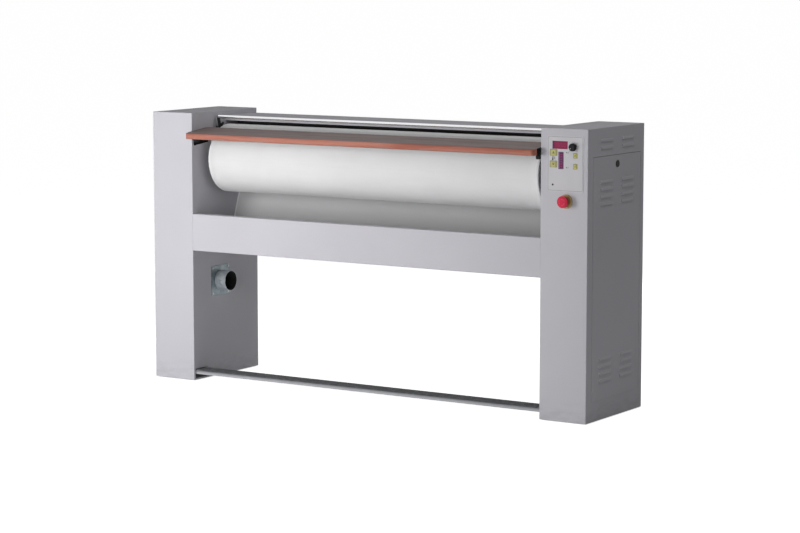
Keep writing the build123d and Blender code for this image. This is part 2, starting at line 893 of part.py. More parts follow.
with BuildPart() as gearbox:
    with BuildSketch(Plane.YZ.offset(gearbox_x)):
        with Locations((roller_y, gearbox_top_z - gearbox_height / 2)):
            Rectangle(gearbox_depth, gearbox_height)
    extrude(amount=gearbox_width)
    chamfer(gearbox.edges().filter_by(Axis.X), 12)
    with BuildSketch(Plane.YZ.offset(gearbox_x)):
        with Locations((roller_y, pinion_z)):
            Circle(pinion_shaft_radius + running_clearance)
    extrude(amount=pinion_shaft_seat + 4, mode=Mode.SUBTRACT)
    with BuildSketch(Plane.YZ.offset(gearbox_x)):
        with Locations((roller_y, pinion_z)):
            Circle(pinion_shaft_radius + 14)
            Circle(pinion_shaft_radius + running_clearance, mode=Mode.SUBTRACT)
    extrude(amount=-6)
    # four spacers that carry the box on the side frame
    with BuildSketch(Plane.YZ.offset(reach(RIGHT, frame_face))):
        with Locations((roller_y, gearbox_top_z - gearbox_height / 2)):
            with GridLocations(spacer_spread_y, spacer_spread_z, 2, 2):
                Rectangle(spacer_width, spacer_width)
    extrude(amount=gearbox_start - frame_face)
keep(gearbox, "gearbox")

motor_middle_x = reach(RIGHT, gearbox_start + gearbox_width / 2 - motor_shift)
motor_top_z = gearbox_top_z - gearbox_height
with BuildPart() as drive_motor:
    with BuildSketch(Plane.XY.offset(motor_top_z)):
        with Locations((motor_middle_x, roller_y)):
            Circle(motor_radius)
    extrude(amount=-motor_collar)
    with BuildSketch(Plane.XY.offset(motor_top_z - motor_collar)):
        with Locations((motor_middle_x, roller_y)):
            Circle(motor_radius - fin_rise)
            with PolarLocations(motor_radius - fin_rise / 2 - 1, motor_fins):
                Rectangle(fin_rise + 2, 3)
    extrude(amount=motor_collar + motor_cap - motor_length)
    with BuildSketch(Plane.XY.offset(motor_top_z - motor_length + motor_cap)):
        with Locations((motor_middle_x, roller_y)):
            Circle(motor_radius)
    extrude(amount=-motor_cap)
    chamfer(drive_motor.faces().sort_by(Axis.Z)[0].edges(), 5)
keep(drive_motor, "drive_motor")

# ---------------------------------------------------------------- bearings

with BuildPart() as roller_bearings:
    for side, journal_radius in (
        (LEFT, left_journal_radius),
        (RIGHT, right_journal_radius),
    ):
        hub = journal_radius + bearing_ring
        with BuildSketch(across(side, frame_face, bearing_flange_thickness)):
            with Locations((roller_y, roller_axis_z)):
                Rectangle(bearing_flange, bearing_flange)
                Circle(journal_radius + running_clearance, mode=Mode.SUBTRACT)
        extrude(amount=bearing_flange_thickness)
        with BuildSketch(across(side, frame_face, bearing_hub_length)):
            with Locations((roller_y, roller_axis_z)):
                Circle(hub)
                Circle(journal_radius + running_clearance, mode=Mode.SUBTRACT)
        extrude(amount=bearing_hub_length)
keep(roller_bearings, "roller_bearings")

# ---------------------------------------------------------------- heated chest

release = radians(-chest_release)
roller_from_pivot = (roller_y - chest_pivot_y, roller_axis_z - chest_pivot_z)


def chest_plane(x):
    """Side plane that swings with the chest, with the pivot as its origin."""
    return Plane(
        origin=(x, chest_pivot_y, chest_pivot_z),
        x_dir=(0, cos(release), sin(release)),
        z_dir=(1, 0, 0),
    )


def round_roller(radius, angle):
    """A point at a radius and an angle round the closed chest's roller axis."""
    across_y, up = roller_from_pivot
    turn = radians(angle)
    return (across_y + radius * cos(turn), up + radius * sin(turn))


def sector(inner, outer, start, end, centre=roller_from_pivot):
    """Curved band between two radii."""
    with BuildLine() as band:
        low = CenterArc(centre, inner, start, end - start)
        high = CenterArc(centre, outer, start, end - start)
        Line(low @ 0, high @ 0)
        Line(low @ 1, high @ 1)
    make_face(band.edges())


lip_centre = round_roller(chest_inner_radius + feed_lip_radius, chest_to_angle)
lip_start = chest_to_angle + 180
with BuildPart() as heated_chest:
    with BuildSketch(chest_plane(chest_left_x)):
        sector(chest_inner_radius, chest_outer_radius, chest_from_angle, chest_to_angle)
    extrude(amount=chest_length)
    with BuildSketch(chest_plane(chest_left_x)):
        sector(
            feed_lip_radius - chest_thickness,
            feed_lip_radius,
            lip_start,
            lip_start - feed_lip_sweep,
            lip_centre,
        )
    extrude(amount=chest_length)
keep(heated_chest, "heated_chest")

element_ring = chest_outer_radius + element_radius
element_angles = [
    chest_from_angle + (chest_to_angle - chest_from_angle) * (i + 0.5) / element_count
    for i in range(element_count)
]
with BuildPart() as heating_elements:
    with BuildSketch(chest_plane(chest_left_x + element_end_inset)):
        for angle in element_angles:
            with Locations(round_roller(element_ring, angle)):
                Circle(element_radius)
    extrude(amount=chest_length - 2 * element_end_inset)
keep(heating_elements, "heating_elements")

with BuildPart() as chest_cover:
    with BuildSketch(chest_plane(chest_left_x)):
        sector(
            chest_cover_radius - chest_cover_sheet,
            chest_cover_radius,
            cover_from_angle,
            chest_to_angle,
        )
        for angle in (cover_from_angle, chest_to_angle - 1):
            sector(chest_outer_radius, chest_cover_radius, angle, angle + 1)
    extrude(amount=chest_length)
keep(chest_cover, "chest_cover")

# Arms: one closes each end of the chest, one stands behind its middle
arm_left_x = chest_left_x - chest_arm_thickness
arm_middle_x = -chest_arm_thickness / 2
leg_top_angle = -8
with BuildPart() as chest_arms:
    for arm_x, arm_inner, arm_outer in (
        (arm_left_x, chest_inner_radius + chest_thickness / 2, chest_cover_radius),
        (arm_middle_x, chest_cover_radius, chest_cover_radius + 12),
        (chest_right_x, chest_inner_radius + chest_thickness / 2, chest_cover_radius),
    ):
        with BuildSketch(chest_plane(arm_x)):
            sector(arm_inner, arm_outer, cover_from_angle, chest_to_angle - 10)
            with BuildLine():
                Polyline(
                    (-chest_hub_radius, 0),
                    round_roller(arm_outer, cover_from_angle),
                    round_roller(arm_outer, leg_top_angle),
                    (chest_hub_radius, 0),
                    close=True,
                )
            make_face()
            Circle(chest_hub_radius)
            Circle(chest_shaft_radius, mode=Mode.SUBTRACT)
            with Locations(roller_from_pivot):
                Circle(arm_inner, mode=Mode.SUBTRACT)
        extrude(amount=chest_arm_thickness)
keep(chest_arms, "chest_arms")

shaft_end = reach(RIGHT, lever_start + lever_thickness)
with BuildPart() as chest_pivot_shaft:
    with BuildSketch(Plane.YZ.offset(-shaft_end)):
        with Locations((chest_pivot_y, chest_pivot_z)):
            Circle(chest_shaft_radius)
    extrude(amount=2 * shaft_end)
    chamfer(chest_pivot_shaft.edges().filter_by(GeomType.CIRCLE), 1)
keep(chest_pivot_shaft, "chest_pivot_shaft")


# ---------------------------------------------------------------- linkage in the columns


def lever_arm(side, pivot, hub_radius, horn):
    """Flat lever between a hub and a horn, given as (y, z) places."""
    with BuildSketch(across(side, lever_start, lever_thickness)) as lever:
        with Locations(pivot):
            Circle(hub_radius)
        with Locations(horn):
            Circle(link_eye_radius + 1)
        make_hull()
    extrude(lever.sketch, amount=lever_thickness)


def round_bar(side, start, length, place, radius, mode=Mode.ADD):
    """Bar along X inside a column, given by its start and its (y, z) place."""
    with BuildSketch(across(side, start, length)) as bar:
        with Locations(place):
            Circle(radius)
    extrude(bar.sketch, amount=length, mode=mode)


chest_pivot = (chest_pivot_y, chest_pivot_z)
chest_horn = (rod_y, chest_pivot_z)
pedal_pivot = (pedal_pivot_y, pedal_pivot_z)
pedal_horn = (rod_y, pedal_pivot_z)
eye_start = lever_start + lever_thickness + rod_side_gap
pin_length = lever_thickness + rod_side_gap + link_eye_thickness + 2

with BuildPart() as chest_levers:
    for side in SIDES:
        lever_arm(side, chest_pivot, chest_hub_radius, chest_horn)
        seat = chest_shaft_radius
        round_bar(side, lever_start, lever_thickness, chest_pivot, seat, Mode.SUBTRACT)
        round_bar(side, lever_start, pin_length, chest_horn, link_pin_radius)
keep(chest_levers, "chest_levers")

spring_foot_z = spring_seat_z - spring_length
with BuildPart() as lift_rods:
    for side in SIDES:
        for low, high, radius in (
            (pedal_pivot_z, chest_pivot_z, rod_radius),
            (spring_foot_z - spring_collar, spring_foot_z, spring_radius + spring_wire),
        ):
            with BuildSketch(Plane.XY.offset(low)):
                with Locations((reach(side, rod_middle_reach), rod_y)):
                    Circle(radius)
            extrude(amount=high - low)
        # flat eyes at both ends, on the levers' pins
        with BuildSketch(across(side, eye_start, link_eye_thickness)):
            with Locations(chest_horn, pedal_horn):
                Rectangle(2 * link_eye_radius, 2 * link_eye_radius)
        extrude(amount=link_eye_thickness)
        with BuildSketch(across(side, eye_start, link_eye_thickness)):
            with Locations(chest_horn, pedal_horn):
                Circle(link_pin_radius + small_clearance)
        extrude(amount=link_eye_thickness, mode=Mode.SUBTRACT)
keep(lift_rods, "lift_rods")

# Return springs of square wire, pressed between the rods' collars and the frames' tabs
coil_height = spring_length - spring_wire - 2 * small_clearance
with BuildPart() as return_springs:
    for side in SIDES:
        spring_x = reach(side, rod_middle_reach)
        coil_z = spring_foot_z + spring_wire / 2 + small_clearance
        with BuildLine():
            Helix(
                pitch=coil_height / spring_turns,
                height=coil_height,
                radius=spring_radius,
                center=(spring_x, rod_y, coil_z),
            )
        with BuildSketch(Plane((spring_x + spring_radius, rod_y, coil_z), z_dir=(0, 1, 0))):
            Rectangle(spring_wire, spring_wire)
        sweep(is_frenet=True)
keep(return_springs, "return_springs")

pedal_front_y = front_y + pedal_front + pedal_sheet / 2
pedal_back_y = pedal_front_y + pedal_depth - pedal_sheet
pedal_mid_sheet_z = pedal_top_z - pedal_sheet / 2
with BuildPart() as foot_pedal_bar:
    with BuildSketch(Plane.YZ.offset(-reach(RIGHT, lever_start))):
        with BuildLine():
            FilletPolyline(
                (pedal_front_y, pedal_top_z - pedal_lip),
                (pedal_front_y, pedal_mid_sheet_z),
                (pedal_back_y, pedal_mid_sheet_z),
                (pedal_back_y, pedal_top_z - pedal_lip),
                radius=bend_radius,
            )
        trace(line_width=pedal_sheet)
    extrude(amount=2 * reach(RIGHT, lever_start))
keep(foot_pedal_bar, "foot_pedal_bar")

lever_tip = (front_y + pedal_front + pedal_lip / 2, pedal_top_z - pedal_lip / 2)
pedal_hub_radius = pedal_pin_radius + 6
with BuildPart() as pedal_levers:
    for side in SIDES:
        with BuildSketch(across(side, lever_start, lever_thickness)):
            with Locations(lever_tip):
                Circle(pedal_lip / 2)
            with Locations(pedal_pivot):
                Circle(pedal_hub_radius)
            make_hull()
        extrude(amount=lever_thickness)
        lever_arm(side, pedal_pivot, pedal_hub_radius, pedal_horn)
        bore = pedal_pin_radius + running_clearance
        round_bar(side, lever_start, lever_thickness, pedal_pivot, bore, Mode.SUBTRACT)
        round_bar(side, lever_start, pin_length, pedal_horn, link_pin_radius)
keep(pedal_levers, "pedal_levers")

cheek_starts = (lever_start - cheek_gap - cheek, lever_start + lever_thickness + cheek_gap)
with BuildPart() as pedal_brackets:
    for side in SIDES:
        for cheek_start in cheek_starts:
            with BuildSketch(across(side, cheek_start, cheek)):
                with BuildLine():
                    Polyline(
                        (pedal_pivot_y - cheek_top / 2, frame_bottom_z),
                        (pedal_pivot_y - cheek_foot / 2, pedal_pivot_z - cheek_foot / 2),
                        (pedal_pivot_y + cheek_foot / 2, pedal_pivot_z - cheek_foot / 2),
                        (pedal_pivot_y + cheek_top / 2, frame_bottom_z),
                        close=True,
                    )
                make_face()
            extrude(amount=cheek)
        bracket_width = cheek_starts[1] + cheek - cheek_starts[0]
        with BuildSketch(Plane.XY.offset(frame_bottom_z)):
            with Locations((reach(side, cheek_starts[0] + bracket_width / 2), pedal_pivot_y)):
                Rectangle(bracket_width, cheek_top)
        extrude(amount=-4)
        round_bar(side, cheek_starts[0] - 3, bracket_width + 6, pedal_pivot, pedal_pin_radius)
keep(pedal_brackets, "pedal_brackets")

# ---------------------------------------------------------------- feed board

tilt = radians(board_tilt)
board_length = clear_width - 2 * bracket_sheet
board_half_flat = board_thickness / 2 - board_nose_radius
nose_shift = board_nose_radius * (1 - cos(tilt)) + board_half_flat * sin(tilt)
board_front_y = front_y - board_overhang
board_back_y = front_y + board_back_setback
board_run = (board_back_y - board_front_y) / cos(tilt)
board_plane = Plane(
    origin=(-board_length / 2, board_front_y + nose_shift, board_front_z),
    x_dir=(0, cos(tilt), sin(tilt)),
    z_dir=(1, 0, 0),
)
with BuildPart() as feed_board:
    with BuildSketch(board_plane) as board_side:
        with Locations((board_run / 2, 0)):
            Rectangle(board_run, board_thickness)
        fillet(board_side.vertices().group_by(Axis.X)[0], board_nose_radius)
        chamfer(board_side.vertices().group_by(Axis.X)[-1], 2)
    extrude(amount=board_length)
    # round the front corners in plan
    plan_depth = board_back_y - board_front_y + board_thickness
    with BuildSketch() as plan:
        with Locations((0, board_front_y + plan_depth / 2)):
            Rectangle(board_length, plan_depth)
        fillet(plan.vertices().group_by(Axis.Y)[0], board_corner_radius)
    extrude(amount=height, mode=Mode.INTERSECT)
keep(feed_board, "feed_board")


def board_slab(side, start, thickness):
    """Board's own side plane, this far from a column's inner face towards the roller."""
    low = min(side * (inner_x - start), side * (inner_x - start - thickness))
    return Plane(
        origin=(low, board_front_y + nose_shift, board_front_z),
        x_dir=(0, cos(tilt), sin(tilt)),
        z_dir=(1, 0, 0),
    )


bracket_length = bracket_back - bracket_front
bracket_middle = board_overhang + (bracket_back + bracket_front) / 2
bracket_shelf_length = bracket_back - shelf_front
shelf_middle = board_overhang + (bracket_back + shelf_front) / 2
cheek_back = board_overhang + bracket_back
cheek_height = board_thickness + bracket_sheet
board_under = -board_thickness / 2
with BuildPart() as board_brackets:
    for side in SIDES:
        with BuildSketch(board_slab(side, 0, bracket_shelf)):
            with Locations((shelf_middle, board_under - bracket_sheet / 2)):
                Rectangle(bracket_shelf_length, bracket_sheet)
        extrude(amount=bracket_shelf)
        # a cheek against the board's end
        with BuildSketch(board_slab(side, 0, bracket_sheet)):
            with Locations(((cheek_front + cheek_back) / 2, -bracket_sheet / 2)):
                Rectangle(cheek_back - cheek_front, cheek_height)
        extrude(amount=bracket_sheet)
        with BuildSketch(board_slab(side, 0, bracket_sheet)):
            with Locations((bracket_middle, board_under - bracket_drop / 2)):
                Rectangle(bracket_length, bracket_drop)
        extrude(amount=bracket_sheet)
keep(board_brackets, "board_brackets")

knob_reach = bracket_sheet + 1 + knob_radius
with BuildPart() as board_knobs:
    for side in SIDES:
        knob_top = Plane(
            origin=board_slab(side, knob_reach, 0).from_local_coords(
                (board_overhang + knob_setback, board_under - bracket_sheet, 0)
            ),
            x_dir=(1, 0, 0),
            z_dir=(0, sin(tilt), -cos(tilt)),
        )
        with BuildSketch(knob_top):
            Circle(knob_radius - 2)
        extrude(amount=knob_neck)
        with BuildSketch(knob_top.offset(knob_neck)):
            Circle(knob_radius)
        extrude(amount=knob_height - knob_neck)
        chamfer(board_knobs.faces().sort_by(Axis.Z)[0].edges(), 1.5)
keep(board_knobs, "board_knobs")

# ---------------------------------------------------------------- finger guard

guard_inside = guard_arm_start + guard_arm_thickness
guard_arm_face = inner_x - guard_inside
with BuildPart() as guard_tube:
    with BuildSketch(Plane.YZ.offset(-guard_arm_face)):
        with Locations((guard_y, guard_z)):
            Circle(guard_tube_radius)
            Circle(guard_tube_radius - guard_tube_wall, mode=Mode.SUBTRACT)
    extrude(amount=2 * guard_arm_face)
keep(guard_tube, "guard_tube")

guard_pivot = (guard_pivot_y, guard_pivot_z)
with BuildPart() as guard_arms:
    for side in SIDES:
        with BuildSketch(across(side, -guard_inside, guard_arm_thickness)):
            with Locations((guard_y, guard_z)):
                Circle(guard_tube_radius)
            with Locations(guard_pivot):
                Circle(guard_arm_radius)
            make_hull()
        extrude(amount=guard_arm_thickness)
        with BuildSketch(across(side, -guard_inside, guard_arm_thickness)):
            with Locations(guard_pivot):
                Circle(guard_arm_radius)
            with Locations((front_y + guard_branch_setback, height - guard_branch_drop)):
                Circle(guard_branch_radius)
            make_hull()
        extrude(amount=guard_arm_thickness)
        pin_reach = guard_cam_start + 4 + guard_inside
        round_bar(side, -guard_inside, pin_reach, guard_pivot, guard_pin_radius)
        with BuildSketch(across(side, guard_cam_start, 4)):
            with Locations(guard_pivot):
                Circle(guard_arm_radius)
            with Locations((guard_pivot_y + guard_cam_length, guard_pivot_z)):
                Circle(guard_branch_radius)
            make_hull()
        extrude(amount=4)
keep(guard_arms, "guard_arms")

switch_y = guard_pivot_y + guard_cam_length
cam_tip = guard_cam_length + guard_branch_radius
cam_drop = cam_tip * sin(radians(guard_travel)) + small_clearance
switch_top = guard_pivot_z - guard_branch_radius - cam_drop
with BuildPart() as guard_switch:
    with BuildSketch(across(RIGHT, frame_face, guard_switch_thickness)):
        with Locations((switch_y, switch_top - 5 - guard_switch_size / 2)):
            Rectangle(guard_switch_size, guard_switch_size)
    extrude(amount=guard_switch_thickness)
    with BuildSketch(across(RIGHT, guard_cam_start, 4)):
        with Locations((switch_y, switch_top - 3)):
            Rectangle(6, 6)
    extrude(amount=4)
keep(guard_switch, "guard_switch")

# ---------------------------------------------------------------- control panel


def on_panel(offset_x, offset_z):
    """Place on the panel, measured from its middle."""
    return (panel_x + offset_x, panel_middle_z + offset_z)


large_keys = {"raise_key": upper_key_offset_z, "lower_key": lower_key_offset_z}
small_keys = {"run_key": upper_key_offset_z - 9, "mode_key": lower_key_offset_z - 6}
panel_face_y = front_y - panel_thickness
with BuildPart() as control_panel:
    with BuildSketch(front_plane(front_y)):
        with Locations(on_panel(0, 0)):
            RectangleRounded(panel_width, panel_height, panel_corner_radius)
        with Locations(on_panel(display_offset_x, display_offset_z)):
            Rectangle(display_width, display_height, mode=Mode.SUBTRACT)
        with Locations(on_panel(bar_offset_x, bar_offset_z)):
            Rectangle(bar_width, bar_height, mode=Mode.SUBTRACT)
        with Locations(on_panel(knob_offset_x, knob_offset_z)):
            Circle(dial_shaft_radius + small_clearance, mode=Mode.SUBTRACT)
        hole = large_key + 2 * small_clearance
        for key_z in large_keys.values():
            with Locations(on_panel(large_key_offset_x, key_z)):
                Rectangle(hole, hole, mode=Mode.SUBTRACT)
        for key_z in small_keys.values():
            with Locations(on_panel(small_key_offset_x, key_z)):
                Rectangle(
                    small_key_width + 2 * small_clearance,
                    small_key_height + 2 * small_clearance,
                    mode=Mode.SUBTRACT,
                )
    extrude(amount=panel_thickness)
keep(control_panel, "control_panel")

with BuildPart() as display_windows:
    with BuildSketch(front_plane(front_y + window_thickness - panel_thickness)):
        with Locations(on_panel(display_offset_x, display_offset_z)):
            Rectangle(display_width, display_height)
        with Locations(on_panel(bar_offset_x, bar_offset_z)):
            Rectangle(bar_width, bar_height)
    extrude(amount=window_thickness + window_rise)
    chamfer(display_windows.faces().group_by(Axis.Y)[0].edges(), 0.6)
keep(display_windows, "display_windows")


def panel_key(offset_x, offset_z, key_width, key_height):
    """Push key with a rounded cap and a collar behind the panel."""
    with BuildPart() as key:
        with BuildSketch(front_plane(panel_face_y + key_depth)):
            with Locations(on_panel(offset_x, offset_z)):
                Rectangle(key_width, key_height)
        extrude(amount=key_depth + key_rise)
        chamfer(key.faces().sort_by(Axis.Y)[0].edges(), 0.8)
    return key


for name, key_z in large_keys.items():
    keep(panel_key(large_key_offset_x, key_z, large_key, large_key), name)
for name, key_z in small_keys.items():
    keep(panel_key(small_key_offset_x, key_z, small_key_width, small_key_height), name)

# Circuit board on four posts behind the panel, with the dial's potentiometer
board_face = key_depth - panel_thickness + key_travel + small_clearance
board_width = panel_width - 2 * (panel_window_margin + board_margin)
board_height = panel_height - 2 * (panel_window_margin + board_margin)
with BuildPart() as control_board:
    with BuildSketch(front_plane(front_y + board_face + board_sheet)):
        with Locations(on_panel(0, 0)):
            Rectangle(board_width, board_height)
    extrude(amount=board_sheet)
    with BuildSketch(front_plane(front_y + board_face)):
        with Locations(on_panel(0, 0)):
            with GridLocations(board_width - board_post, board_height - board_post, 2, 2):
                Rectangle(board_post, board_post)
    extrude(amount=board_face)
    with BuildSketch(front_plane(front_y + board_face + board_sheet + 8)):
        with Locations(on_panel(knob_offset_x, knob_offset_z)):
            Rectangle(18, 18)
    extrude(amount=8)
    with BuildSketch(front_plane(front_y + board_face + board_sheet + 8)):
        with Locations(on_panel(knob_offset_x, knob_offset_z)):
            Circle(dial_shaft_radius + running_clearance)
    extrude(amount=8 + board_sheet, mode=Mode.SUBTRACT)
keep(control_board, "control_board")

with BuildPart() as speed_dial:
    dial_plane = front_plane(panel_face_y - 0.5)
    with BuildSketch(dial_plane):
        with Locations(on_panel(knob_offset_x, knob_offset_z)):
            Circle(dial_radius)
    extrude(amount=4)
    with BuildSketch(dial_plane.offset(4)):
        with Locations(on_panel(knob_offset_x, knob_offset_z)):
            Circle(dial_radius - 2)
    extrude(amount=dial_height - 4)
    with BuildSketch(dial_plane.offset(dial_height)):
        with Locations(on_panel(knob_offset_x, knob_offset_z + dial_radius / 2)):
            Rectangle(1.4, dial_radius)
    extrude(amount=-1, mode=Mode.SUBTRACT)
    with BuildSketch(dial_plane):
        with Locations(on_panel(knob_offset_x, knob_offset_z)):
            Circle(dial_shaft_radius)
    extrude(amount=-16)
keep(speed_dial, "speed_dial")

# Emergency stop: collar and contact block stay, the mushroom head travels
with BuildPart() as emergency_stop_collar:
    with BuildSketch(front_plane(front_y)):
        with Locations((stop_x, stop_z)):
            Circle(stop_collar_radius)
            Circle(stop_stem_radius + small_clearance, mode=Mode.SUBTRACT)
    extrude(amount=stop_collar_thickness)
    chamfer(emergency_stop_collar.faces().sort_by(Axis.Y)[0].outer_wire().edges(), 2)
    with BuildSketch(front_plane(front_y)):
        with Locations((stop_x, stop_z)):
            Circle(stop_body_radius)
            Circle(stop_stem_radius + small_clearance, mode=Mode.SUBTRACT)
    extrude(amount=-14)
keep(emergency_stop_collar, "emergency_stop_collar")

with BuildPart() as emergency_stop_contacts:
    with BuildSketch(front_plane(front_y + 14 + contact_block)):
        with Locations((stop_x, stop_z)):
            Rectangle(contact_block, contact_block)
    extrude(amount=contact_block)
    with BuildSketch(front_plane(front_y + 14)):
        with Locations((stop_x, stop_z)):
            Circle(stop_stem_radius + 1)
    extrude(amount=-stop_travel - 6, mode=Mode.SUBTRACT)
keep(emergency_stop_contacts, "emergency_stop_contacts")

head_back_y = front_y - stop_stand_off
with BuildPart() as emergency_stop_head:
    with BuildSketch(front_plane(head_back_y)):
        with Locations((stop_x, stop_z)):
            Circle(stop_head_radius)
    extrude(amount=stop_head_thickness)
    chamfer(emergency_stop_head.faces().sort_by(Axis.Y)[-1].edges(), stop_rim)
    chamfer(emergency_stop_head.faces().sort_by(Axis.Y)[0].edges(), stop_rim, 2 * stop_rim)
    with BuildSketch(front_plane(head_back_y)):
        with Locations((stop_x, stop_z)):
            Circle(stop_stem_radius)
    extrude(amount=-(stop_stand_off + 16))
keep(emergency_stop_head, "emergency_stop_head")

# ---------------------------------------------------------------- electrical parts

plate_top_z = motor_top_z - motor_length - plate_motor_gap
plate_height = plate_top_z - plate_bottom_z
plate_middle = (
    front_y + plate_front + plate_depth / 2,
    plate_bottom_z + plate_height / 2,
)
with BuildPart() as electrical_plate:
    with BuildSketch(across(RIGHT, plate_start, plate_sheet)):
        with Locations(plate_middle):
            Rectangle(plate_depth, plate_height)
    extrude(amount=plate_sheet)
    # two standing legs that carry the plate on the side frame's base
    leg_bottom_z = frame_bottom_z + frame_plate
    leg_top_z = plate_bottom_z + leg_lap
    with BuildSketch(across(RIGHT, plate_start - leg_width, leg_width)):
        for leg_y in (
            plate_middle[0] - plate_depth / 2 + leg_width,
            plate_middle[0] + plate_depth / 2 - leg_back_inset,
        ):
            with Locations((leg_y, (leg_bottom_z + leg_top_z) / 2)):
                Rectangle(leg_width, leg_top_z - leg_bottom_z)
    extrude(amount=leg_width)
keep(electrical_plate, "electrical_plate")

component_start = plate_start + plate_sheet
contactor_z = plate_top_z - contactor_drop
contactor_spread = contactor_width + contactor_gap
shoulder_spread = contactor_height - contactor_shoulder
step_start = component_start + contactor_depth - contactor_step
with BuildPart() as contactors:
    with BuildSketch(across(RIGHT, component_start, contactor_depth)):
        with Locations((plate_middle[0], contactor_z)):
            with GridLocations(contactor_spread, 1, contactor_count, 1):
                Rectangle(contactor_width, contactor_height)
    extrude(amount=contactor_depth)
    with BuildSketch(across(RIGHT, step_start, contactor_step)):
        with Locations((plate_middle[0], contactor_z)):
            with GridLocations(contactor_spread, shoulder_spread, contactor_count, 2):
                Rectangle(contactor_width, contactor_shoulder)
    extrude(amount=contactor_step, mode=Mode.SUBTRACT)
keep(contactors, "contactors")

terminal_z = plate_bottom_z + terminal_rise
pocket_start = component_start + terminal_depth - terminal_pocket
with BuildPart() as terminal_block:
    with BuildSketch(across(RIGHT, component_start, terminal_depth)):
        with Locations((plate_middle[0], terminal_z)):
            Rectangle(terminal_count * terminal_pitch, terminal_height)
    extrude(amount=terminal_depth)
    with BuildSketch(across(RIGHT, pocket_start, terminal_pocket)):
        with Locations((plate_middle[0], terminal_z)):
            with GridLocations(terminal_pitch, terminal_height / 2, terminal_count, 2):
                Rectangle(terminal_pitch - terminal_wall, terminal_pocket)
    extrude(amount=terminal_pocket, mode=Mode.SUBTRACT)
keep(terminal_block, "terminal_block")

gland_end_y = back_y + gland_reach
gland_inside_y = back_y - column_sheet - gland_tail
with BuildPart() as cable_gland:
    with BuildSketch(front_plane(back_y)):
        with Locations((panel_x, gland_z)):
            RegularPolygon(gland_radius, 6, major_radius=True)
    extrude(amount=-gland_reach / 2)
    with BuildSketch(front_plane(back_y + gland_reach / 2)):
        with Locations((panel_x, gland_z)):
            Circle(gland_radius - 2.5)
    extrude(amount=-gland_reach / 2)
    chamfer(cable_gland.faces().sort_by(Axis.Y)[-1].edges(), 2)
    with BuildSketch(front_plane(back_y)):
        with Locations((panel_x, gland_z)):
            Circle(gland_neck_radius)
    extrude(amount=back_y - gland_inside_y)
    with BuildSketch(front_plane(gland_end_y)):
        with Locations((panel_x, gland_z)):
            Circle(gland_bore)
    extrude(amount=gland_end_y - gland_inside_y, mode=Mode.SUBTRACT)
    with BuildSketch(front_plane(gland_end_y - gland_grip)):
        with Locations((panel_x, gland_z)):
            Circle(gland_inner_bore)
    extrude(amount=gland_end_y - gland_grip - gland_inside_y, mode=Mode.SUBTRACT)
keep(cable_gland, "cable_gland")

# ---------------------------------------------------------------- suction in the left column

fan_x = reach(LEFT, fan_axis_reach)
fan_front_y = spigot_y - fan_depth / 2
fan_back_y = spigot_y + fan_depth / 2
wall_x = -inner_x - column_sheet

with BuildPart() as exhaust_spigot:
    with BuildSketch(Plane.YZ.offset(-inner_x)):
        with Locations((spigot_y, spigot_z)):
            RectangleRounded(spigot_flange, spigot_flange, 6)
            Circle(spigot_radius - spigot_wall, mode=Mode.SUBTRACT)
    extrude(amount=spigot_flange_sheet)
    with BuildSketch(Plane.YZ.offset(wall_x)):
        with Locations((spigot_y, spigot_z)):
            Circle(spigot_radius)
            Circle(spigot_radius - spigot_wall, mode=Mode.SUBTRACT)
    extrude(amount=column_sheet + spigot_length)
keep(exhaust_spigot, "exhaust_spigot")

outlet_bottom_z = spigot_z - spigot_radius + 1
outlet_height = 2 * spigot_radius - 2


def scroll_outline(inset):
    """Outline of the fan scroll and its tangential outlet, seen from the front."""
    with Locations((fan_x, fan_axis_z)):
        Circle(scroll_radius - inset)
    run = wall_x - fan_x
    with Locations((fan_x + run / 2 - inset / 2, outlet_bottom_z + outlet_height / 2)):
        Rectangle(run + inset, outlet_height - 2 * inset)


with BuildPart() as fan_housing:
    with BuildSketch(front_plane(fan_back_y)):
        scroll_outline(0)
    extrude(amount=fan_depth)
    with BuildSketch(front_plane(fan_back_y - fan_wall)):
        scroll_outline(fan_wall)
    extrude(amount=fan_depth - 2 * fan_wall, mode=Mode.SUBTRACT)
    with BuildSketch(Plane.YZ.offset(wall_x - 4)):
        with Locations((spigot_y, outlet_bottom_z + outlet_height / 2)):
            Rectangle(fan_depth - 2 * fan_wall, outlet_height - 2 * fan_wall)
    extrude(amount=4, mode=Mode.SUBTRACT)
    with BuildSketch(front_plane(fan_front_y + fan_wall)):
        with Locations((fan_x, fan_axis_z)):
            Circle(fan_inlet_radius)
    extrude(amount=fan_wall, mode=Mode.SUBTRACT)
    with BuildSketch(front_plane(fan_back_y)):
        with Locations((fan_x, fan_axis_z)):
            Circle(fan_shaft_radius + 2)
    extrude(amount=fan_wall, mode=Mode.SUBTRACT)
keep(fan_housing, "fan_housing")

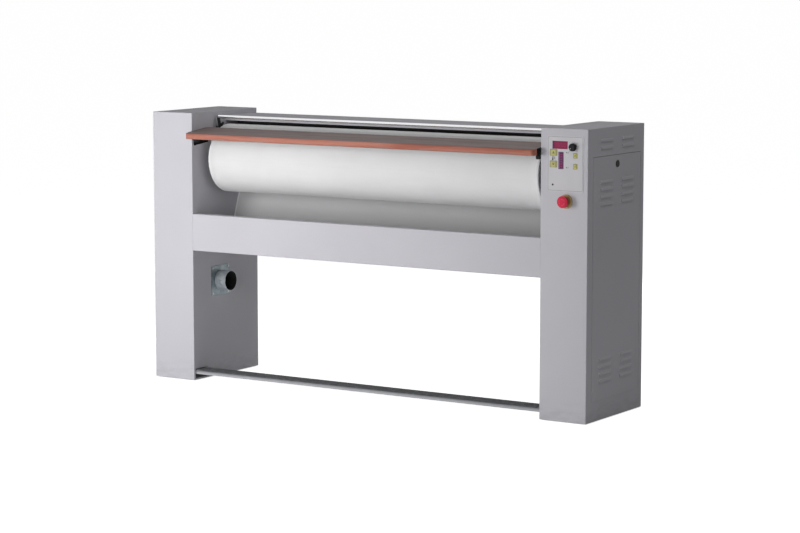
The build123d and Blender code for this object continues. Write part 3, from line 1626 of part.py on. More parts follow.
impeller_back_y = fan_back_y - fan_wall - 5
blade_length = impeller_radius - fan_inlet_radius + 4
with BuildPart() as fan_impeller:
    with BuildSketch(front_plane(impeller_back_y)):
        with Locations((fan_x, fan_axis_z)):
            Circle(impeller_radius)
    extrude(amount=2)
    with BuildSketch(front_plane(impeller_back_y - 2)):
        with Locations((fan_x, fan_axis_z)):
            with PolarLocations(impeller_radius - blade_length / 2 - 2, impeller_blades):
                Rectangle(blade_length, blade_thickness, rotation=-35)
    extrude(amount=impeller_depth - 4)
    with BuildSketch(front_plane(impeller_back_y - impeller_depth + 2)):
        with Locations((fan_x, fan_axis_z)):
            Circle(impeller_radius)
            Circle(fan_inlet_radius, mode=Mode.SUBTRACT)
    extrude(amount=2)
    with BuildSketch(front_plane(impeller_back_y)):
        with Locations((fan_x, fan_axis_z)):
            Circle(fan_shaft_radius + 8)
    extrude(amount=24)
    with BuildSketch(front_plane(fan_back_y + 10)):
        with Locations((fan_x, fan_axis_z)):
            Circle(fan_shaft_radius)
    extrude(amount=fan_back_y + 10 - impeller_back_y)
keep(fan_impeller, "fan_impeller")

with BuildPart() as fan_motor:
    with BuildSketch(front_plane(fan_back_y)):
        with Locations((fan_x, fan_axis_z)):
            Circle(fan_motor_radius)
    extrude(amount=-fan_motor_length)
    chamfer(fan_motor.faces().sort_by(Axis.Y)[-1].edges(), 8)
    with BuildSketch(front_plane(fan_back_y)):
        with Locations((fan_x, fan_axis_z)):
            Circle(fan_shaft_radius + running_clearance)
    extrude(amount=-14, mode=Mode.SUBTRACT)
keep(fan_motor, "fan_motor")

duct_x = reach(LEFT, duct_start + duct_width)
duct_back_y = fan_front_y
duct_front_y = duct_back_y - duct_depth
chamber_back_y = roller_y + duct_chamber / 2
chamber_top_z = roller_axis_z + duct_chamber / 2
duct_foot_z = fan_axis_z - fan_inlet_radius - duct_margin
duct_chamber_bottom_z = roller_axis_z - duct_chamber_drop


def duct_outline(inset):
    """Side view of the duct: a chamber round the journal, leaning into a down-pipe."""
    with BuildLine() as outline:
        Polyline(
            (duct_front_y + inset, duct_foot_z + inset),
            (duct_back_y - inset, duct_foot_z + inset),
            (duct_back_y - inset, duct_chamber_bottom_z - duct_lean + inset),
            (chamber_back_y - inset, duct_chamber_bottom_z + inset),
            (chamber_back_y - inset, chamber_top_z - inset),
            (chamber_back_y - duct_chamber + inset, chamber_top_z - inset),
            (duct_front_y + inset, duct_chamber_bottom_z - inset),
            close=True,
        )
    make_face(outline.edges())


with BuildPart() as suction_duct:
    with BuildSketch(Plane.YZ.offset(duct_x)):
        duct_outline(0)
    extrude(amount=duct_width)
    with BuildSketch(Plane.YZ.offset(duct_x + duct_wall)):
        duct_outline(duct_wall)
    extrude(amount=duct_width - 2 * duct_wall, mode=Mode.SUBTRACT)
    with BuildSketch(Plane.YZ.offset(duct_x + duct_width - duct_wall)):
        with Locations((roller_y, roller_axis_z)):
            Circle(left_journal_radius + 1)
    extrude(amount=duct_wall, mode=Mode.SUBTRACT)
    with BuildSketch(front_plane(duct_back_y)):
        with Locations((fan_x, fan_axis_z)):
            Circle(fan_inlet_radius)
    extrude(amount=duct_wall, mode=Mode.SUBTRACT)
keep(suction_duct, "suction_duct")
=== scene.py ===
"""Looks of the flatwork ironer: studio, camera, materials and the fine pieces that ride on the CAD frame.

The studio and the materials are in metres. Shapes are drawn in millimetres, in the row frame, and come to
metres when their vertices are made."""

import math

import bmesh
import bpy
from mathutils import Matrix, Vector


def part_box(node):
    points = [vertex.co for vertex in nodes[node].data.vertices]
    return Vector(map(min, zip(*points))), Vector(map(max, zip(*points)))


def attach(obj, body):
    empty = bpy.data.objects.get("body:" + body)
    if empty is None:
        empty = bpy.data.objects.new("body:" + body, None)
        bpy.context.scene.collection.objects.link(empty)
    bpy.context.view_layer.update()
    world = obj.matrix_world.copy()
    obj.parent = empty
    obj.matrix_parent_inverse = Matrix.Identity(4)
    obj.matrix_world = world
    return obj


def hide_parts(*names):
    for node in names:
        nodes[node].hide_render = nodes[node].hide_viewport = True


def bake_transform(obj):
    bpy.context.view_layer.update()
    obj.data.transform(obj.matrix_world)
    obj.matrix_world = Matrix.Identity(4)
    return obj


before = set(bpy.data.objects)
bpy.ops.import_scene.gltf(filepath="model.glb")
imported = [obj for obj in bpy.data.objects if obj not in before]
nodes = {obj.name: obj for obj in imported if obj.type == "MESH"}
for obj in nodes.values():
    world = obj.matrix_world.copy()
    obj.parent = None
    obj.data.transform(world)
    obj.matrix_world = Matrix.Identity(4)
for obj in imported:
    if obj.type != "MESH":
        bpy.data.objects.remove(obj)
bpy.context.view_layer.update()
scene = bpy.context.scene

MM = 0.001
Z = Vector((0, 0, 1))


def srgb(r, g, b):
    """Linear colour for a colour given as it looks on a screen, 0 to 255."""
    def channel(c):
        c /= 255
        return c / 12.92 if c <= 0.04045 else ((c + 0.055) / 1.055) ** 2.4
    return (channel(r), channel(g), channel(b), 1)


def shade(colour, factor):
    return tuple(min(1, c * factor) for c in colour[:3]) + (1,)


def tinted(tone, r, g, b):
    return (tone * r, tone * g, tone * b, 1)


def connect(tree, node, inputs):
    """Set a node's inputs: each socket gets a value, or a link from the output that is given for it."""
    for key, value in inputs.items():
        if isinstance(value, bpy.types.NodeSocket):
            tree.links.new(value, node.inputs[key])
        else:
            node.inputs[key].default_value = value


def new_node(tree, kind, inputs=None, **settings):
    made = tree.nodes.new("ShaderNode" + kind)
    for key, value in settings.items():
        setattr(made, key, value)
    connect(tree, made, inputs or {})
    return made


# ------------------ camera, light and floor

CAMERA_PLACE = (5.0961, -7.8774, 1.6438)
CAMERA_DOWN, CAMERA_TURN = 0.1231, 0.5691  # radians below the horizon, and about Z
FOCAL_LENGTH, SENSOR_WIDTH = 111.99, 36    # mm

camera_data = bpy.data.cameras.new("camera")
camera_data.sensor_width = SENSOR_WIDTH
camera_data.lens = FOCAL_LENGTH
camera_data.clip_end = 1000
camera = bpy.data.objects.new("camera", camera_data)
camera.location = CAMERA_PLACE
camera.rotation_euler = (math.pi / 2 - CAMERA_DOWN, 0, CAMERA_TURN)
scene.collection.objects.link(camera)
scene.camera = camera

scene.view_settings.view_transform = "Standard"

LAMPS = (                 # name, place, target, diameter, watts
    ("key_light", (-1.0, -2.45, 0.95), (-0.6, 0, 0.65), 1.5, 38.5),
    ("low_fill", (0.9, -3.2, 0.35), (-0.2, 0, 0.6), 1.8, 20),
    ("top_light", (3.0, 0.2, 4.2), (0.2, 0, 0.8), 1.8, 18.5),
    ("back_light", (-0.1, 3.5, 1.3), (0, 0, 0.6), 1.8, 24),
    ("overhead_light", (-0.1, -0.55, 3.3), (-0.1, -0.1, 0.9), 1.6, 7),
)
for name, place, target, diameter, watts in LAMPS:
    light = bpy.data.lights.new(name, "AREA")
    light.shape = "DISK"
    light.size = diameter
    light.energy = watts
    lamp = bpy.data.objects.new(name, light)
    lamp.location = place
    lamp.rotation_euler = (Vector(target) - Vector(place)).to_track_quat("-Z", "Y").to_euler()
    lamp.visible_camera = lamp.visible_glossy = False
    scene.collection.objects.link(lamp)

AMBIENT = 0.125           # strength of the light from all round
FLOOR_GLOW = 0.90         # how bright the floor looks by itself
FLOOR_REACH = 250
COLUMN_X, COLUMN_Y = 0.870, 0.018          # middle of a column in plan
COLUMN_HALF_X, COLUMN_HALF_Y = 0.080, 0.198
MASK_SLOPE = 70           # of the glow at a column's outline, per metre


def seen_directly(tree):
    """1 for camera, glossy and transmission rays, 0 for the rays that carry soft light."""
    rays = new_node(tree, "LightPath").outputs
    total = rays["Is Camera Ray"]
    for ray in ("Is Glossy Ray", "Is Transmission Ray"):
        total = new_node(tree, "Math", {0: total, 1: rays[ray]}, operation="ADD", use_clamp=True).outputs[0]
    return total


world = bpy.data.worlds.new("studio")
scene.world = world
world.use_nodes = True
sky = world.node_tree
sky.nodes.clear()
soft_sky, white_sky = (
    new_node(sky, "Background", {"Color": (1, 1, 1, 1), "Strength": strength}).outputs[0]
    for strength in (AMBIENT, 1))
skies = new_node(sky, "MixShader", {0: seen_directly(sky), 1: soft_sky, 2: white_sky})
new_node(sky, "OutputWorld", {"Surface": skies.outputs[0]})

floor_material = bpy.data.materials.new("studio_floor")
floor_material.use_nodes = True
ground = floor_material.node_tree
ground.nodes.clear()


def floor_math(operation, first, second=0.0, third=0.0):
    return new_node(
        ground, "Math", {0: first, 1: second, 2: third},
        operation=operation, use_clamp=operation == "MULTIPLY_ADD",
    ).outputs[0]


def beyond(coordinate, middle, half):
    """0 inside a column's outline along one axis, 1 a little outside it."""
    off = floor_math("ABSOLUTE", floor_math("SUBTRACT", coordinate, middle))
    return floor_math("MULTIPLY_ADD", off, MASK_SLOPE, -half * MASK_SLOPE)


# the floor glows for the camera and in reflections, but not inside the two columns
floor_place = new_node(ground, "SeparateXYZ", {0: new_node(ground, "TexCoord").outputs["Object"]}).outputs
outside = floor_math(
    "MAXIMUM",
    beyond(floor_math("ABSOLUTE", floor_place["X"]), COLUMN_X, COLUMN_HALF_X),
    beyond(floor_place["Y"], COLUMN_Y, COLUMN_HALF_Y),
)
strength = floor_math("MULTIPLY", floor_math("MULTIPLY", seen_directly(ground), outside), FLOOR_GLOW)
matt = new_node(ground, "BsdfDiffuse", {"Color": (0.75, 0.75, 0.75, 1)})
glow = new_node(ground, "Emission", {"Strength": strength})
both = new_node(ground, "AddShader", {0: matt.outputs[0], 1: glow.outputs[0]})
new_node(ground, "OutputMaterial", {"Surface": both.outputs[0]})

floor_mesh = bpy.data.meshes.new("studio_floor")
floor_corners = [(x * FLOOR_REACH, y * FLOOR_REACH, 0) for x, y in ((-1, -1), (1, -1), (1, 1), (-1, 1))]
floor_mesh.from_pydata(floor_corners, [], [(0, 1, 2, 3)])
floor_mesh.materials.append(floor_material)
floor = bpy.data.objects.new("studio_floor", floor_mesh)
scene.collection.objects.link(floor)


# ------------------ materials


class Finish:
    """A material under construction. Texture scales are per metre, because pieces lie in the row frame."""

    def __init__(self, name, roughness=0.5, metallic=0.0, specular=0.5):
        self.material = bpy.data.materials.new(name)
        self.material.use_nodes = True
        self.tree = self.material.node_tree
        self.feed({"Roughness": roughness, "Metallic": metallic, "Specular IOR Level": specular})
        self.place = self.node("TexCoord").outputs["Object"]
        self.normal = None

    def node(self, kind, inputs=None, **settings):
        return new_node(self.tree, kind, inputs, **settings)

    def feed(self, inputs):
        """Set inputs of the material's own shader."""
        connect(self.tree, self.tree.nodes["Principled BSDF"], inputs)

    def stretched(self, *scale):
        return self.node("Mapping", {"Vector": self.place, "Scale": scale}).outputs[0]

    def noise(self, scale, detail=3, roughness=0.55, vector=None, distortion=0.0):
        return self.node("TexNoise", {
            "Vector": vector or self.place, "Scale": scale, "Detail": detail,
            "Roughness": roughness, "Distortion": distortion,
        }).outputs["Fac"]

    def cells(self, scale, output="Distance", randomness=1.0):
        inputs = {"Vector": self.place, "Scale": scale, "Randomness": randomness}
        return self.node("TexVoronoi", inputs).outputs[output]

    def crystals(self, scale):
        """Spangle of zinc: each cell has a grey of its own."""
        return self.node("RGBToBW", {0: self.cells(scale, output="Color")}).outputs[0]

    def wave(self, scale, axis="X", profile="SIN", distortion=0.0, detail=2.0):
        inputs = {"Vector": self.place, "Scale": scale, "Distortion": distortion, "Detail": detail}
        return self.node("TexWave", inputs, bands_direction=axis, wave_profile=profile).outputs["Fac"]

    def ramp(self, value, *stops):
        """stops: (position, colour) pairs."""
        made = self.node("ValToRGB", {"Fac": value})
        elements = made.color_ramp.elements
        while len(elements) < len(stops):
            elements.new(0.5)
        for element, (position, colour) in zip(elements, stops):
            element.position = position
            element.color = (*colour[:3], 1)
        return made.outputs["Color"]

    def tones(self, value, first, second, low=0.3, high=0.7):
        return self.ramp(value, (low, first), (high, second))

    def mix(self, factor, first, second):
        return self.node("Mix", {0: factor, 6: first, 7: second}, data_type="RGBA").outputs[2]

    def math(self, operation, first, second=0.0):
        return self.node("Math", {0: first, 1: second}, operation=operation).outputs[0]

    def span(self, value, low, high, to_low=0.0, to_high=1.0):
        """Smooth step from to_low to to_high as the value goes from low to high."""
        inputs = {0: value, 1: low, 2: high, 3: to_low, 4: to_high}
        return self.node("MapRange", inputs, interpolation_type="SMOOTHSTEP").outputs[0]

    def coord(self, axis):
        return self.node("SeparateXYZ", {0: self.place}).outputs[axis]

    def facing(self, axis):
        """1 where the surface looks along an axis of the row frame, either way, 0 where it looks across it."""
        normal = self.node("SeparateXYZ", {0: self.node("NewGeometry").outputs["Normal"]})
        return self.math("ABSOLUTE", normal.outputs[axis])

    def enamel(self, colour):
        """Faint clouds and flecks of stove enamel."""
        clouds = self.tones(self.noise(2.2, detail=2), shade(colour, 0.972), shade(colour, 1.02))
        return self.mix(self.span(self.noise(900, detail=2), 0.55, 0.75, 0, 0.10), clouds, shade(colour, 0.8))

    def bump(self, height, depth, strength=1.0):
        """depth in metres: how far the texture's full range rises. A second bump lies on the first."""
        inputs = {"Strength": strength, "Distance": depth, "Height": height}
        if self.normal:
            inputs["Normal"] = self.normal
        self.normal = self.node("Bump", inputs).outputs[0]
        self.feed({"Normal": self.normal})

    def done(self, colour, wear, smooth, rough, height, depth, strength=1.0):
        """The material, with its colour, a texture that moves its roughness between two values, and a bump."""
        self.feed({"Base Color": colour, "Roughness": self.span(wear, 0.25, 0.75, smooth, rough)})
        self.bump(height, depth, strength)
        return self.material

    def painted(self, colour, wear, smooth, rough):
        """The material, with the orange peel of stove enamel for its bump."""
        return self.done(colour, wear, smooth, rough, self.noise(420, detail=2, roughness=0.4), 0.00006)


def powder_coat(name, colour, roughness, dirt=0.0):
    """Stove-enamelled sheet: faint clouds, orange peel, and scuffs near the floor if it has dirt."""
    f = Finish(name, roughness, specular=0.03)
    base = f.enamel(colour)
    if dirt:
        low = f.span(f.coord("Z"), 0.004, 0.11, dirt, 0)
        smear = f.span(f.noise(18, detail=5, vector=f.stretched(1, 1, 3)), 0.38, 0.7)
        base = f.mix(f.math("MULTIPLY", low, smear), base, shade(colour, 0.45))
    return f.painted(base, f.noise(7), roughness - 0.06, roughness + 0.06)


def galvanised(name, tone=0.56, spangle=55):
    """Zinc-coated sheet with its crystal pattern and rolling lines."""
    f = Finish(name, 0.4, metallic=0.85)
    grey = f.crystals(spangle)
    base = f.tones(grey, tinted(tone, 0.86, 0.88, 0.9), tinted(tone, 1.1, 1.11, 1.12), 0.1, 0.9)
    base = f.mix(f.span(f.noise(9, detail=4), 0.45, 0.8, 0, 0.35), base, tinted(tone, 0.7, 0.7, 0.72))
    return f.done(base, grey, 0.3, 0.52, f.noise(300, detail=2, vector=f.stretched(1, 1, 0.08)), 0.00004)


def machined(name, tone, roughness, axis="X", oil=0.0):
    """Turned or ground steel: tool lines round an axis, faint stain, and oil if it is given."""
    f = Finish(name, roughness, metallic=0.9)
    stain = f.noise(24, detail=5)
    base = f.tones(stain, [c * 0.8 for c in tone], tone, 0.35)
    if oil:
        base = f.mix(f.span(stain, 0.4, 0.65, oil, 0), base, (0.05, 0.042, 0.03, 1))
    lines = f.wave(1400, axis=axis, distortion=0.6)
    return f.done(base, stain, roughness - 0.08, roughness + 0.12, lines, 0.00002, 0.6)


def casting(name, colour, grain=260, roughness=0.55):
    """Painted sand casting."""
    f = Finish(name, roughness, specular=0.4)
    pits = f.noise(grain)
    base = f.tones(f.noise(16, detail=4), shade(colour, 0.84), shade(colour, 1.12))
    return f.done(base, pits, roughness - 0.1, roughness + 0.12, pits, 0.0004, 0.8)


def plastic(name, colour, roughness, specular=0.45):
    """Moulded plastic with a fine spark-eroded grain."""
    f = Finish(name, roughness, specular=specular)
    tone = f.noise(30, detail=2)
    base = f.tones(tone, shade(colour, 0.94), shade(colour, 1.06))
    return f.done(base, tone, roughness - 0.05, roughness + 0.07, f.noise(1100, detail=2), 0.00004)


def ink(name, colour):
    """Screen-printed ink."""
    f = Finish(name, specular=0.35)
    base = f.tones(f.noise(160), shade(colour, 0.88), shade(colour, 1.1))
    return f.done(base, f.noise(90), 0.44, 0.56, f.noise(1200), 0.00001)


def weave(name, colour, pitch=0.0009, depth=0.00012, tint=0.04):
    """Plain-woven cloth; threads run along the roller and round it."""
    f = Finish(name, 0.85, specular=0.2)
    scale = 1 / pitch / 6.2832 * 2  # about one wave of the texture to a thread
    along, across, upright = (f.wave(scale, axis=axis) for axis in "XYZ")
    threads = f.math("MULTIPLY", along, f.math("MAXIMUM", upright, across))
    slub = f.noise(60, detail=4, vector=f.stretched(0.12, 1, 1))
    base = f.tones(f.noise(3.5), shade(colour, 1 - tint), shade(colour, 1 + tint * 0.5))
    base = f.mix(f.span(slub, 0.4, 0.75, 0, 0.12), base, shade(colour, 0.88))
    base = f.mix(f.span(threads, 0.0, 0.5, 0.10, 0), base, shade(colour, 0.7))
    f.feed({"Sheen Weight": 0.25, "Sheen Roughness": 0.5})
    f.bump(f.noise(35, vector=f.stretched(0.3, 1, 1)), 0.0003, 0.5)
    return f.done(base, slub, 0.77, 0.9, threads, depth, 0.7)


def rubber():
    """Rubber of the tread, with dust in its grain."""
    f = Finish("tread_rubber", 0.75, specular=0.3)
    colour = (0.07, 0.072, 0.076, 1)
    dust = f.noise(60, detail=5)
    base = f.tones(dust, colour, shade(colour, 2.4), 0.4, 0.85)
    return f.done(base, dust, 0.62, 0.85, f.noise(1500, detail=2), 0.00008)


def chrome():
    """Plating of the guard tube, drawn along the tube and a little hazy."""
    f = Finish("guard_chrome", 0.14, metallic=1.0)
    haze = f.noise(14, detail=4)
    base = f.tones(haze, tinted(0.86, 0.93, 0.94, 0.96), tinted(0.86, 1, 1, 1.01))
    grain = f.noise(1800, detail=1, vector=f.stretched(0.002, 1, 1))
    return f.done(base, haze, 0.14, 0.19, grain, 0.000002, 0.1)


def anodised():
    """Chest's aluminium painted near-black as shade, for the dark gap behind the guard tube, with lighter
    polished streaks along the run of the linen.
    """
    f = Finish("chest_painted_shade", 0.3, metallic=0.35, specular=0.4)
    # painted shade: near-black in place of the chest's bare metal
    colour = (0.035, 0.034, 0.034, 1)
    rubbed = f.noise(30, detail=4, vector=f.stretched(0.15, 1, 1))
    base = f.tones(rubbed, shade(colour, 0.75), shade(colour, 1.8), 0.3, 0.75)
    return f.done(base, rubbed, 0.28, 0.45, f.noise(900, detail=2), 0.00002)


def hood_coat():
    """Hood painted outside; its inside is painted near-black as shade, for the dark gap behind the guard tube.
    """
    f = Finish("hood_paint", 0.74, specular=0.03)
    low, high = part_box("rear_hood")
    shell = 0.004
    y = f.coord("Y")
    behind_front = f.span(y, low[1] + shell, low[1] + 2 * shell)
    before_back = f.span(y, high[1] - shell, high[1] - shell / 2, 1, 0)
    under_top = f.span(f.coord("Z"), high[2] - shell, high[2] - shell / 2, 1, 0)
    inside = f.math("MULTIPLY", f.math("MULTIPLY", behind_front, before_back), under_top)
    # painted shade: the hood's inside is near-black where shade falls
    inside_shade = f.tones(f.noise(14), (0.018, 0.018, 0.019), (0.035, 0.034, 0.034))
    return f.painted(f.mix(inside, f.enamel(PAINT), inside_shade), f.noise(7), 0.68, 0.8)


def bar_coat():
    """Foot bar's paint, darker towards its top edge: a painted shade, broken up by scuffs from shoes."""
    f = Finish("pedal_paint", 0.55, specular=0.08)
    low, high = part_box("foot_pedal_bar")
    scuff = f.noise(60, detail=4, vector=f.stretched(0.4, 1, 1))
    # painted shade: the front grows darker towards the top edge, mottled by scuffs
    upper_shade = f.span(f.coord("Z"), low[2] + 0.003, high[2], 0, 0.9)
    shade_and_scuffs = f.math("MULTIPLY", upper_shade, f.span(scuff, 0.1, 0.6, 0.6, 1))
    clean = f.tones(f.noise(9), srgb(184, 185, 190), srgb(194, 195, 199))
    return f.painted(f.mix(shade_and_scuffs, clean, srgb(92, 92, 96)), scuff, 0.48, 0.62)


def duct_collar():
    """Galvanised spigot: flange and barrel are shaded and lit copies of one zinc, a painted shade and a painted
    highlight; its bore is painted near-black as shade.
    """
    f = Finish("spigot_zinc", 0.45, metallic=0.75)
    low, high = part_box("exhaust_spigot")
    flange, bore_radius = 0.0045, 0.0386
    grey = f.crystals(60)
    # painted highlight on the barrel, painted shade on the flange, from one zinc
    lit_zinc = f.tones(grey, (0.52, 0.56, 0.60), (0.72, 0.77, 0.80), 0.1, 0.9)
    shaded_zinc = f.tones(grey, (0.15, 0.18, 0.20), (0.23, 0.27, 0.29), 0.1, 0.9)
    barrel = f.span(f.coord("X"), low[0] + flange, low[0] + flange + 0.0015)
    squares = []
    for axis, i in (("Y", 1), ("Z", 2)):
        off = f.math("SUBTRACT", f.coord(axis), (low[i] + high[i]) / 2)
        squares.append(f.math("MULTIPLY", off, off))
    bore = f.span(f.math("SQRT", f.math("ADD", *squares)), bore_radius, bore_radius + 0.0003, 1, 0)
    # painted shade: the bore is near-black, faintly mottled
    bore_shade = f.tones(f.noise(160, detail=5), (0.004, 0.004, 0.005), (0.016, 0.016, 0.017), 0.3, 0.8)
    f.feed({
        "Base Color": f.mix(bore, f.mix(barrel, shaded_zinc, lit_zinc), bore_shade),
        "Metallic": f.span(bore, 0.3, 0.7, 0.75, 0.0),
        "Roughness": f.span(bore, 0.3, 0.7, 0.45, 0.95),
    })
    f.bump(f.noise(300), 0.00005)
    return f.material


def lock_finish():
    """Cover lock: black head outside, plated barrel and cam inside."""
    f = Finish("cover_lock_finish", 0.4, specular=0.08)
    cover_face = 0.9652
    outside = f.span(f.math("ABSOLUTE", f.coord("X")), cover_face, cover_face + 0.0004)
    wear = f.noise(90, detail=4)
    plating = f.tones(wear, (0.45, 0.44, 0.42), (0.6, 0.59, 0.56))
    head = f.tones(wear, (0.008, 0.008, 0.009), (0.025, 0.025, 0.026), 0.3, 0.8)
    f.feed({"Metallic": f.span(outside, 0.3, 0.7, 0.85, 0.0)})
    return f.done(f.mix(outside, plating, head), wear, 0.42, 0.58, f.noise(500), 0.00003)


def stop_plastic():
    """Red cap of the emergency stop; its flank is painted a deeper red than its crown, as shade."""
    f = Finish("stop_red_plastic", 0.42, specular=0.25)
    tone = f.noise(30, detail=2)
    crown = f.tones(tone, srgb(206, 45, 74), srgb(218, 56, 84))
    # painted shade: deep maroon where the cap does not face the operator
    base = f.mix(f.span(f.facing("Y"), 0.25, 0.8), srgb(118, 12, 20), crown)
    return f.done(base, tone, 0.37, 0.49, f.noise(700, detail=2), 0.00004)


def board_laminate():
    """Grey-brown laminate above and below, reddish wood lipping round the edges."""
    f = Finish("board_wood", 0.6, specular=0.2)
    rings = f.noise(7, detail=6, roughness=0.6, vector=f.stretched(0.35, 5, 5), distortion=0.4)
    pores = f.noise(240, vector=f.stretched(0.03, 1, 1))
    lipping = f.ramp(rings, (0.3, srgb(160, 95, 80)), (0.5, srgb(182, 120, 104)), (0.72, srgb(194, 136, 120)))
    lipping = f.mix(f.span(pores, 0.55, 0.8, 0, 0.5), lipping, srgb(132, 70, 54))
    sheet = f.tones(rings, srgb(116, 103, 101), srgb(138, 124, 121))
    sheet = f.mix(f.span(pores, 0.5, 0.75, 0, 0.4), sheet, srgb(96, 84, 82))
    base = f.mix(f.span(f.facing("Z"), 0.80, 0.93), lipping, sheet)
    return f.done(base, pores, 0.55, 0.7, pores, 0.00012, 0.5)


def heating_rod():
    """Heating element with the tints that heat leaves on it."""
    f = Finish("heating_rod", 0.4, metallic=0.7)
    heat = f.noise(11, detail=4)
    base = f.ramp(heat, (0.3, (0.10, 0.085, 0.075)), (0.6, (0.2, 0.15, 0.11)), (0.8, (0.14, 0.13, 0.16)))
    return f.done(base, heat, 0.32, 0.5, f.noise(500), 0.00004)


def membrane():
    """Printed membrane of the control panel: matt polyester with a very fine texture."""
    f = Finish("panel_membrane", 0.42, specular=0.4)
    grain = f.cells(1600)
    base = f.tones(f.noise(12), srgb(211, 210, 214), srgb(218, 216, 220))
    base = f.mix(f.span(grain, 0.2, 0.6, 0, 0.12), base, srgb(176, 176, 178))
    return f.done(base, f.noise(40), 0.36, 0.48, grain, 0.00002, 0.6)


def display_tint():
    """Tinted windows: the wide one shades from violet to magenta, the narrow one below it is dark violet."""
    f = Finish("display_tint", 0.4, specular=0.05)
    shading = f.span(f.coord("X"), 0.822, 0.836)
    wide_one = f.span(f.coord("Z"), 0.969, 0.975)
    wide = f.tones(shading, srgb(100, 54, 102), srgb(152, 64, 92), 0.0, 1.0)
    narrow = f.tones(f.noise(90, detail=2), srgb(94, 68, 100), srgb(112, 76, 110))
    base = f.mix(f.span(f.noise(260), 0.45, 0.7, 0, 0.25), f.mix(wide_one, narrow, wide), srgb(84, 34, 66))
    return f.done(base, f.noise(50), 0.28, 0.4, f.noise(200), 0.00001)


def circuit_board():
    """Green board with lighter tracks and tinned pads."""
    f = Finish("circuit_board", 0.35)
    tracks = f.wave(150, axis="DIAGONAL", profile="SAW", distortion=6, detail=3)
    base = f.mix(f.span(tracks, 0.4, 0.5), srgb(14, 66, 38), srgb(26, 96, 54))
    base = f.mix(f.span(f.cells(160, randomness=0.4), 0.1, 0.14, 1, 0), base, srgb(186, 182, 168))
    return f.done(base, tracks, 0.28, 0.42, tracks, 0.00006)


def foot_finish():
    """Rubber pad below, zinc-plated stud above."""
    f = Finish("levelling_foot")
    pad_top = 0.0112
    stud = f.span(f.coord("Z"), pad_top, pad_top + 0.0006)
    noise = f.noise(70, detail=4)
    pad = f.tones(noise, (0.02, 0.02, 0.022), (0.06, 0.06, 0.06), 0.4, 0.8)
    zinc = f.tones(noise, (0.5, 0.5, 0.48), (0.62, 0.61, 0.58))
    f.feed({"Metallic": f.span(stud, 0.4, 0.6, 0.0, 0.9)})
    return f.done(f.mix(stud, pad, zinc), noise, 0.38, 0.62, f.wave(320, axis="Z", profile="TRI"), 0.0004, 0.8)


PAINT = srgb(207, 206, 212)
# painted highlight: the tray's end hems are lighter than the tray
hem_highlight_paint = powder_coat("hem_highlight_paint", srgb(236, 236, 238), 0.6)
plated = machined("zinc_plated_steel", (0.62, 0.61, 0.58), 0.34, axis="Z")
spring_steel = machined("spring_steel", (0.5, 0.49, 0.47), 0.3, axis="Z")
black_plastic = plastic("black_plastic", srgb(22, 22, 24), 0.38)
knob_plastic = plastic("knob_plastic", srgb(34, 34, 36), 0.55, specular=0.2)
tread_rubber = rubber()
cloth_white = weave("roller_cloth_weave", srgb(240, 240, 241))
hem_white = weave("roller_hem_weave", srgb(243, 243, 244), pitch=0.0012)
felt_white = weave("roller_felt", srgb(206, 200, 188), pitch=0.003, depth=0.0005, tint=0.08)
grey_ink = ink("grey_ink", srgb(96, 98, 104))
dark_ink = ink("dark_ink", srgb(44, 46, 52))
white_ink = ink("white_ink", srgb(232, 220, 222))
glow_ink = ink("display_digits", srgb(186, 52, 104))
stop_ink = ink("stop_arrow_ink", srgb(222, 92, 108))
key_field_ink = ink("key_field_ink", srgb(176, 172, 124))
level_field_ink = ink("level_field_ink", srgb(128, 98, 130))

